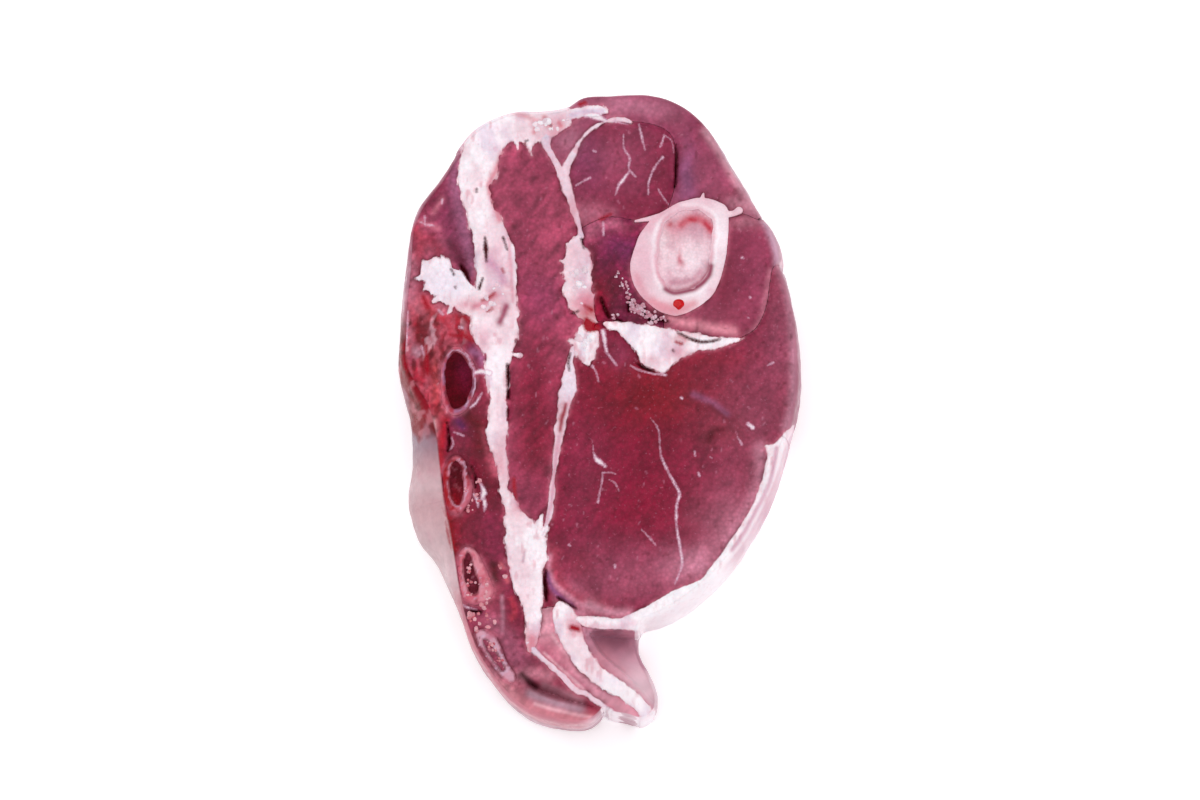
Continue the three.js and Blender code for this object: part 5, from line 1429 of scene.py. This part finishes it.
def food_material(name):
    """Tinted wet surface with a grain of cut fibres, crisp fat, blood and crevices."""
    look = LOOKS[name]
    material = bpy.data.materials.new(name)
    material.use_nodes = True
    tree = material.node_tree
    shader = tree.nodes["Principled BSDF"]
    place = add(tree, "ShaderNodeTexCoord").outputs["Object"]
    cells = {"Vector": place, "Scale": 1000 / look["fascicle"], "Randomness": 1.0}
    fibres = add(tree, "ShaderNodeTexVoronoi", cells).outputs["Distance"]
    fine, middle, broad = grain(tree, place, 0.7), grain(tree, place, 3.0), grain(tree, place, 14.0)
    tint = bordered(tree, place)
    tint = mottled(tree, tint, fibres, middle, broad, look)
    tint, wet = marked(tree, tint, place)
    tree.links.new(tint, shader.inputs["Base Color"])
    rough = ramp(tree, middle, 0.3, 0.7, *look["rough"])
    tree.links.new(maths(tree, "MULTIPLY", rough, wet), shader.inputs["Roughness"])
    cut = ramp(tree, value_of(tree, "cut"), 0.0, 1.0, 0.25, 1.0)
    height = maths(tree, "ADD", maths(tree, "MULTIPLY", fibres, 0.5), maths(tree, "ADD", fine, middle))
    height = maths(tree, "MULTIPLY", height, cut)
    bump = add(tree, "ShaderNodeBump", {"Height": height, "Strength": 1.0, "Distance": look["depth"] / 1000})
    tree.links.new(bump.outputs["Normal"], shader.inputs["Normal"])
    shader.inputs["Subsurface Weight"].default_value = look["soft"]
    gloss, coat = DULL.get(name, (GLOSS, COAT))
    shader.inputs["Subsurface Radius"].default_value = SOFT_RADIUS
    shader.inputs["Subsurface Scale"].default_value = SOFT_REACH
    shader.inputs["Coat Weight"].default_value = coat
    shader.inputs["Coat Roughness"].default_value = COAT_ROUGHNESS
    shader.inputs["Specular IOR Level"].default_value = gloss
    return material


def bordered(tree, place):
    """Lean and fat, with the border between them frayed more finely than the mesh."""
    lean = add(tree, "ShaderNodeAttribute", attribute_name="lean").outputs["Color"]
    fat = add(tree, "ShaderNodeAttribute", attribute_name="fat").outputs["Color"]
    stretch = {0: place, 1: (1.0, 0.45, 1.0)}
    drawn = add(tree, "ShaderNodeVectorMath", stretch, operation="MULTIPLY").outputs[0]
    strands = grain(tree, drawn, 2.2, 3.0, 0.5)
    streak = ramp(tree, grain(tree, drawn, 1.6, 3.0), 0.56, 0.75, 0.0, 0.2)
    fat = mixed(tree, streak, fat, colour(FAT_RED))
    fray = maths(tree, "MULTIPLY", value_of(tree, "fray"), ramp(tree, strands, 0.3, 0.7, -0.9, 0.9))
    amount = ramp(tree, maths(tree, "ADD", value_of(tree, "edge"), fray), -0.3, 0.3, 1.0, 0.0)
    return mixed(tree, amount, lean, fat)


def mottled(tree, tint, fibres, middle, broad, look):
    """Lighter and darker bundles of fibre, and pale specks, weaker on the outer wall."""
    light, dark = 1 + look["contrast"], 1 - look["contrast"]
    cut = value_of(tree, "cut")
    sources = ((fibres, 0.1, 0.8, 0.0), (middle, 0.3, 0.7, 0.3), (broad, 0.3, 0.7, 0.6))
    for source, low, high, on_wall in sources:
        level = ramp(tree, source, low, high, light, dark)
        tint = mixed(tree, ramp(tree, cut, 0.0, 1.0, on_wall, 1.0), tint, grey(tree, level), "MULTIPLY")
    if look["specks"]:
        place = add(tree, "ShaderNodeTexCoord").outputs["Object"]
        speck = ramp(tree, grain(tree, place, 1.3, 2.0), 0.64, 0.76, 0.0, look["specks"])
        tint = mixed(tree, maths(tree, "MULTIPLY", speck, cut), tint, colour(PALE_MAUVE))
    return tint


def grey(tree, level):
    return add(tree, "ShaderNodeCombineColor", {0: level, 1: level, 2: level}).outputs[0]


def marked(tree, tint, place):
    """White marks (fat, and one painted highlight), blood, and crevices with painted shade laid over the
    tint, and how much each changes the gloss.
    """
    edge = ramp(tree, grain(tree, place, 0.8), 0.2, 0.8, -0.35, 0.35)
    wet = None
    for name, low, high, over, strength, gloss in (
        ("white", -0.4, 0.45, THREAD, 0.8, 1.05), ("blood", -0.9, 0.7, BLOOD, 1.0, 0.5),
        ("gap", -0.7, 0.5, HOLLOW_RED_AND_SHADE, 1.0, 1.3),
    ):
        depth = maths(tree, "ADD", value_of(tree, name), edge)
        amount = ramp(tree, depth, low, high, 0.0, strength)
        over = colour(over)
        if name == "white":
            over = mixed(tree, ramp(tree, depth, 0.2, 0.9), over, colour(FAT_WHITE))
        tint = mixed(tree, amount, tint, over)
        level = ramp(tree, amount, 0.0, strength, 1.0, gloss)
        wet = level if wet is None else maths(tree, "MULTIPLY", wet, level)
    return tint, wet


MATERIAL = {name: food_material(name) for name in LOOKS}


# The pieces

def lean_base(x, y):
    """Lower face of the lean."""
    return BASE_RISE + 0.15 * (1 + lumps(x, y, 0.0, 7, 81))


def firm_base(x, y):
    """Lower face of fat and bone, which the cut lies on."""
    return 0.06 * (1 + lumps(x, y, 0.0, 6, 82))


def show(name, field, top, base, proud, paint, slot):
    """Makes one piece and lets it stand for its node."""
    points, faces, side = slab(field, top, base, proud)
    tints = paint(name, points, side)
    piece = make_mesh(f"{name}_dressed", points, faces, tints, MATERIAL[slot])
    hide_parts(name)


SLOT_OF = {
    "shoulder_muscle": "red_muscle", "strap_muscle": "red_muscle", "neck_muscle": "pale_muscle",
    "cap_muscle": "pale_muscle", "inner_muscle": "dark_muscle", "shank_muscle": "pale_muscle",
    "chest_wall": "torn_muscle", "flap_muscle": "pale_muscle", "flank_muscle": "membrane",
}


def make_muscles():
    for number, name in enumerate(MUSCLES, 1):
        show(name, muscle_field(number), flesh_top, lean_base, 0.0, flesh_paint, SLOT_OF[name])


def raised_top(name, kind):
    return lambda x, y: fat_top(x, y, FIELD[name], RAISED[kind], COARSE[kind])


def make_fats():
    """Each piece ends a little inside the ones made before it."""
    taken = np.minimum.reduce([FIELD[name] for name in BONES])
    for name in ("chest_fat", "centre_fat", "neck_seam", "strap_seam", "shank_fat", "flap_fat",
                 "fat_cover", "flap_seam"):
        kind = "sinew" if name in SINEWS else "fat"
        own = np.maximum.reduce([FIELD[name], -taken - LAP, FIELD["rim"] + INSET])
        show(name, own, raised_top(name, kind), firm_base, FAT_PROUD, flesh_paint, kind)
        taken = np.minimum(taken, FIELD[name])


def make_bones():
    for name in BONES:
        marrow = f"{name}_marrow"
        wall = FIELD["rim"] + INSET
        rind = np.maximum.reduce([FIELD[name], -FIELD[marrow] - CORE_LAP, wall + RIND_SET_BACK])
        core = np.maximum(FIELD[marrow], wall + CORE_SET_BACK)
        if name == "arm_bone":
            kind, inner, slot = "bone", "marrow", "marrow"
        else:
            kind, inner, slot = "rib", "core", "rib_marrow"
        show(name, rind, raised_top(name, kind), firm_base, 0.0, bone_paint, "bone")
        show(marrow, core, raised_top(marrow, inner), firm_base, 0.0, marrow_paint, slot)


# Crumbs: x, y, how far they lie scattered, how many, size
BONE_CRUMBS = [
    (8.5, 62.5, 1.4, 7, 0.9), (11, 58.5, 2.0, 10, 0.9), (16, 48.8, 2.8, 24, 1.2),
    (19.6, 45.6, 3.0, 34, 1.25), (24.5, 42.6, 2.2, 16, 1.1), (29.5, 42, 1.6, 7, 0.8),
    (13, 55, 1.4, 6, 0.8), (7, 43.6, 1.4, 6, 1.0),
]
RIB_CRUMBS = [
    (-51, -89.6, 2.4, 8, 1.4), (-56, -93.6, 1.8, 8, 1.5), (-49.4, -94.6, 2.4, 9, 1.4),
    (-54, -98, 2.0, 7, 1.3), (-57.6, -71, 1.4, 5, 0.9), (-56.8, -78, 1.6, 6, 1.0),
    (-50, -77, 1.2, 6, 1.2), (-49.4, -83.6, 1.4, 7, 1.3), (-47.6, -106, 1.4, 6, 0.9),
    (-44, -112, 1.2, 4, 0.8), (-43.5, -70.4, 0.9, 3, 1.9), (-41.4, -75.6, 0.9, 3, 1.8),
    (-57, -83, 1.2, 4, 1.0), (-57.5, -73, 1.2, 3, 0.8), (-45.5, -108, 1.6, 3, 0.9),
    (-62, 38.4, 0.8, 3, 1.2), (-53, -32, 1.6, 6, 1.0), (-54.5, -40, 2.0, 9, 1.1),
    (-57, -44, 1.6, 6, 0.9), (-59, -36, 1.0, 4, 0.8), (-50, -80, 2.0, 5, 0.9),
]
NODULES = [
    (-24, 134.5, 2.6, 8, 2.0), (-20, 131.4, 1.6, 4, 1.7), (-29, 133, 2.2, 5, 1.9),
    (-15.5, 135.5, 1.6, 3, 1.4), (-9.4, 66, 3.4, 9, 2.4), (-8.6, 56.5, 3.2, 9, 2.3),
    (-7, 50, 2.4, 5, 1.8), (-6, 33, 3.4, 8, 2.4), (-50, 50, 3.2, 8, 2.0), (-45, 57, 2.2, 5, 1.8),
]


def ball(rings=9, around=12):
    """Points and quads of a unit ball, and the triangles that close its two small end rings."""
    steepest = math.pi / 2 - 0.12
    rise = np.linspace(-steepest, steepest, rings)
    turn = np.arange(around) * 2 * math.pi / around
    circle = np.stack([np.cos(turn), np.sin(turn)], 1)
    layers = [np.column_stack([circle * math.cos(t), np.full(around, math.sin(t))]) for t in rise]
    i = np.arange((rings - 1) * around)
    right = i - i % around + (i + 1) % around
    quads = np.stack([i, right, right + around, i + around], 1)
    last = (rings - 1) * around
    fans = [[0, j + 1, j] for j in range(1, around - 1)]
    fans += [[last, last + j, last + j + 1] for j in range(1, around - 1)]
    return np.vstack(layers), quads, np.array(fans)


def scatter(name, groups, seed, colours, slot, sunk):
    """Many small crumbs of bone and fat, lying on the cut face or sunk in it, as one piece."""
    random = np.random.default_rng(seed)
    unit, quads, fans = ball()
    points, tints, faces, caps = [], [], [], []
    for x, y, reach, count, size in groups:
        for _ in range(count):
            at = np.array([x, y]) + random.normal(0, reach * 0.6, 2)
            radii = size * random.uniform(0.45, 1.0) * random.uniform(0.7, 1.2, 3) * (1, 1, 0.7)
            shape = unit * (1 + 0.28 * lumps(*(unit * 3 + random.uniform(0, 90)).T, 2.0, 91))[:, None]
            ground = float(open_height(at[:1], at[1:])[0]) - sunk * size
            faces.append(quads + len(unit) * len(points))
            caps.append(fans + len(unit) * len(points))
            points.append(shape * radii + np.append(at, ground))
            shade = random.uniform(0, 1)
            tints.append(evenly(colours[0] + shade * (colours[1] - colours[0]), unit))
    total = len(unit) * len(points)
    found = {key: np.full(total, NO_MARK) for key in MARKS} | {"cut": np.ones(total)}
    paint = plain_paint(np.vstack(tints), found)
    make_mesh(name, np.vstack(points), [np.vstack(faces), np.vstack(caps)], paint, MATERIAL[slot])


def make_drop():
    """The drop of blood on the lower rim of the arm bone."""
    unit, quads, fans = ball(13, 24)
    narrow = 1 - 0.5 * smooth(0.0, 1.0, -unit[:, 1])
    shape = unit * np.column_stack([2.6 * narrow, 2.5 + 0 * narrow, 0.55 + 0 * narrow])
    shape[:, 0] += 0.25 * lumps(*(unit * 3).T, 2.0, 95)
    x, y = np.array([36.5]), np.array([48.5])
    ground = float(fat_top(x, y, FIELD["arm_bone"], RAISED["bone"], 0)[0])
    points = shape + (36.6, 48.6, ground)
    paint = {"tint": evenly(tone(196, 0, 34), points)}
    make_mesh("blood_drop", points, [quads, fans], paint, drop_material())


def drop_material():
    """Wet blood with a soft gloss."""
    material = bpy.data.materials.new("wet_blood")
    material.use_nodes = True
    tree = material.node_tree
    shader = tree.nodes["Principled BSDF"]
    place = add(tree, "ShaderNodeTexCoord").outputs["Object"]
    tint = add(tree, "ShaderNodeAttribute", attribute_name="tint").outputs["Color"]
    level = ramp(tree, grain(tree, place, 1.5), 0.3, 0.7, 0.8, 1.15)
    tree.links.new(mixed(tree, 1.0, tint, grey(tree, level), "MULTIPLY"), shader.inputs["Base Color"])
    tree.links.new(ramp(tree, grain(tree, place, 2.0), 0.3, 0.7, 0.14, 0.26), shader.inputs["Roughness"])
    shader.inputs["Specular IOR Level"].default_value = 0.2
    return material


make_muscles()
make_fats()
make_bones()
scatter("bone_crumbs", BONE_CRUMBS, 5, (tone(228, 190, 202), tone(196, 128, 146)), "fat", 0.2)
scatter("rib_crumbs", RIB_CRUMBS, 6, (tone(236, 176, 186), tone(200, 92, 106)), "fat", 0.3)
scatter("fat_nodules", NODULES, 7, (FAT_WHITE, FAT_PINK), "fat", 0.22)
make_drop()


# Camera, light and floor

ELEVATION = math.radians(80)
LENS, SENSOR = 85.0, 36.0
PHOTO_WIDE, PHOTO_HIGH = 1200, 800
PIXEL = 0.45                # millimetres of the cut face in one pixel of the photograph
PLAN_ORIGIN = (598, 410)    # and the pixel where the plan's origin lies
FLOOR_HALF = 3.0
FLOOR_GLOW = 0.22
WHITE = (1.0, 1.0, 1.0, 1)
SKY = (0.97, 0.98, 1.0, 1)
SKY_STRENGTH = 0.72
LAMPS = {"key_lamp": ((-0.4, 0.5, 1.5), 1.5, 11.0), "side_lamp": ((1.1, -0.7, 1.1), 1.6, 6.6)}


def make_camera():
    """The camera of the photograph, steeply above the foot of the cut."""
    look = np.array([0, math.cos(ELEVATION), -math.sin(ELEVATION)])
    up = np.array([0, math.sin(ELEVATION), math.cos(ELEVATION)])
    distance = LENS / SENSOR * PHOTO_WIDE * PIXEL
    aside = (PHOTO_WIDE / 2 - PLAN_ORIGIN[0]) * PIXEL
    below = (PHOTO_HIGH / 2 - PLAN_ORIGIN[1]) * PIXEL
    place = np.array([aside, 0, THICK]) - distance * look - below * up
    data = bpy.data.cameras.new("camera")
    data.lens, data.sensor_width = LENS, SENSOR
    camera = bpy.data.objects.new("camera", data)
    camera.location = place / 1000 + SHIFT
    camera.rotation_euler = (math.pi / 2 - ELEVATION, 0, 0)
    bpy.context.scene.collection.objects.link(camera)
    bpy.context.scene.camera = camera


def make_floor():
    mesh = bpy.data.meshes.new("floor")
    half = FLOOR_HALF
    corners = [(-half, -half, 0), (half, -half, 0), (half, half, 0), (-half, half, 0)]
    mesh.from_pydata(corners, [], [(0, 1, 2, 3)])
    material = bpy.data.materials.new("pale_floor")
    material.use_nodes = True
    shader = material.node_tree.nodes["Principled BSDF"]
    shader.inputs["Base Color"].default_value = WHITE
    shader.inputs["Roughness"].default_value = 0.9
    shader.inputs["Emission Color"].default_value = WHITE
    shader.inputs["Emission Strength"].default_value = FLOOR_GLOW
    mesh.materials.append(material)
    floor = bpy.data.objects.new("floor", mesh)
    bpy.context.scene.collection.objects.link(floor)


def make_lamp(name, place, size, power):
    data = bpy.data.lights.new(name, "AREA")
    data.size, data.energy = size, power
    lamp = bpy.data.objects.new(name, data)
    lamp.location = place
    aim = -np.array(place) / np.linalg.norm(place)
    lamp.rotation_euler = (math.acos(-aim[2]), 0, math.atan2(aim[1], aim[0]) + 1.5 * math.pi)
    bpy.context.scene.collection.objects.link(lamp)


def make_light():
    world = bpy.data.worlds.new("studio")
    world.use_nodes = True
    background = world.node_tree.nodes["Background"]
    background.inputs["Color"].default_value = SKY
    background.inputs["Strength"].default_value = SKY_STRENGTH
    bpy.context.scene.world = world
    for name, (place, size, power) in LAMPS.items():
        make_lamp(name, place, size, power)


make_camera()
make_floor()
make_light()
bpy.context.scene.view_settings.view_transform = "Standard"
bpy.context.scene.view_settings.look = "None"
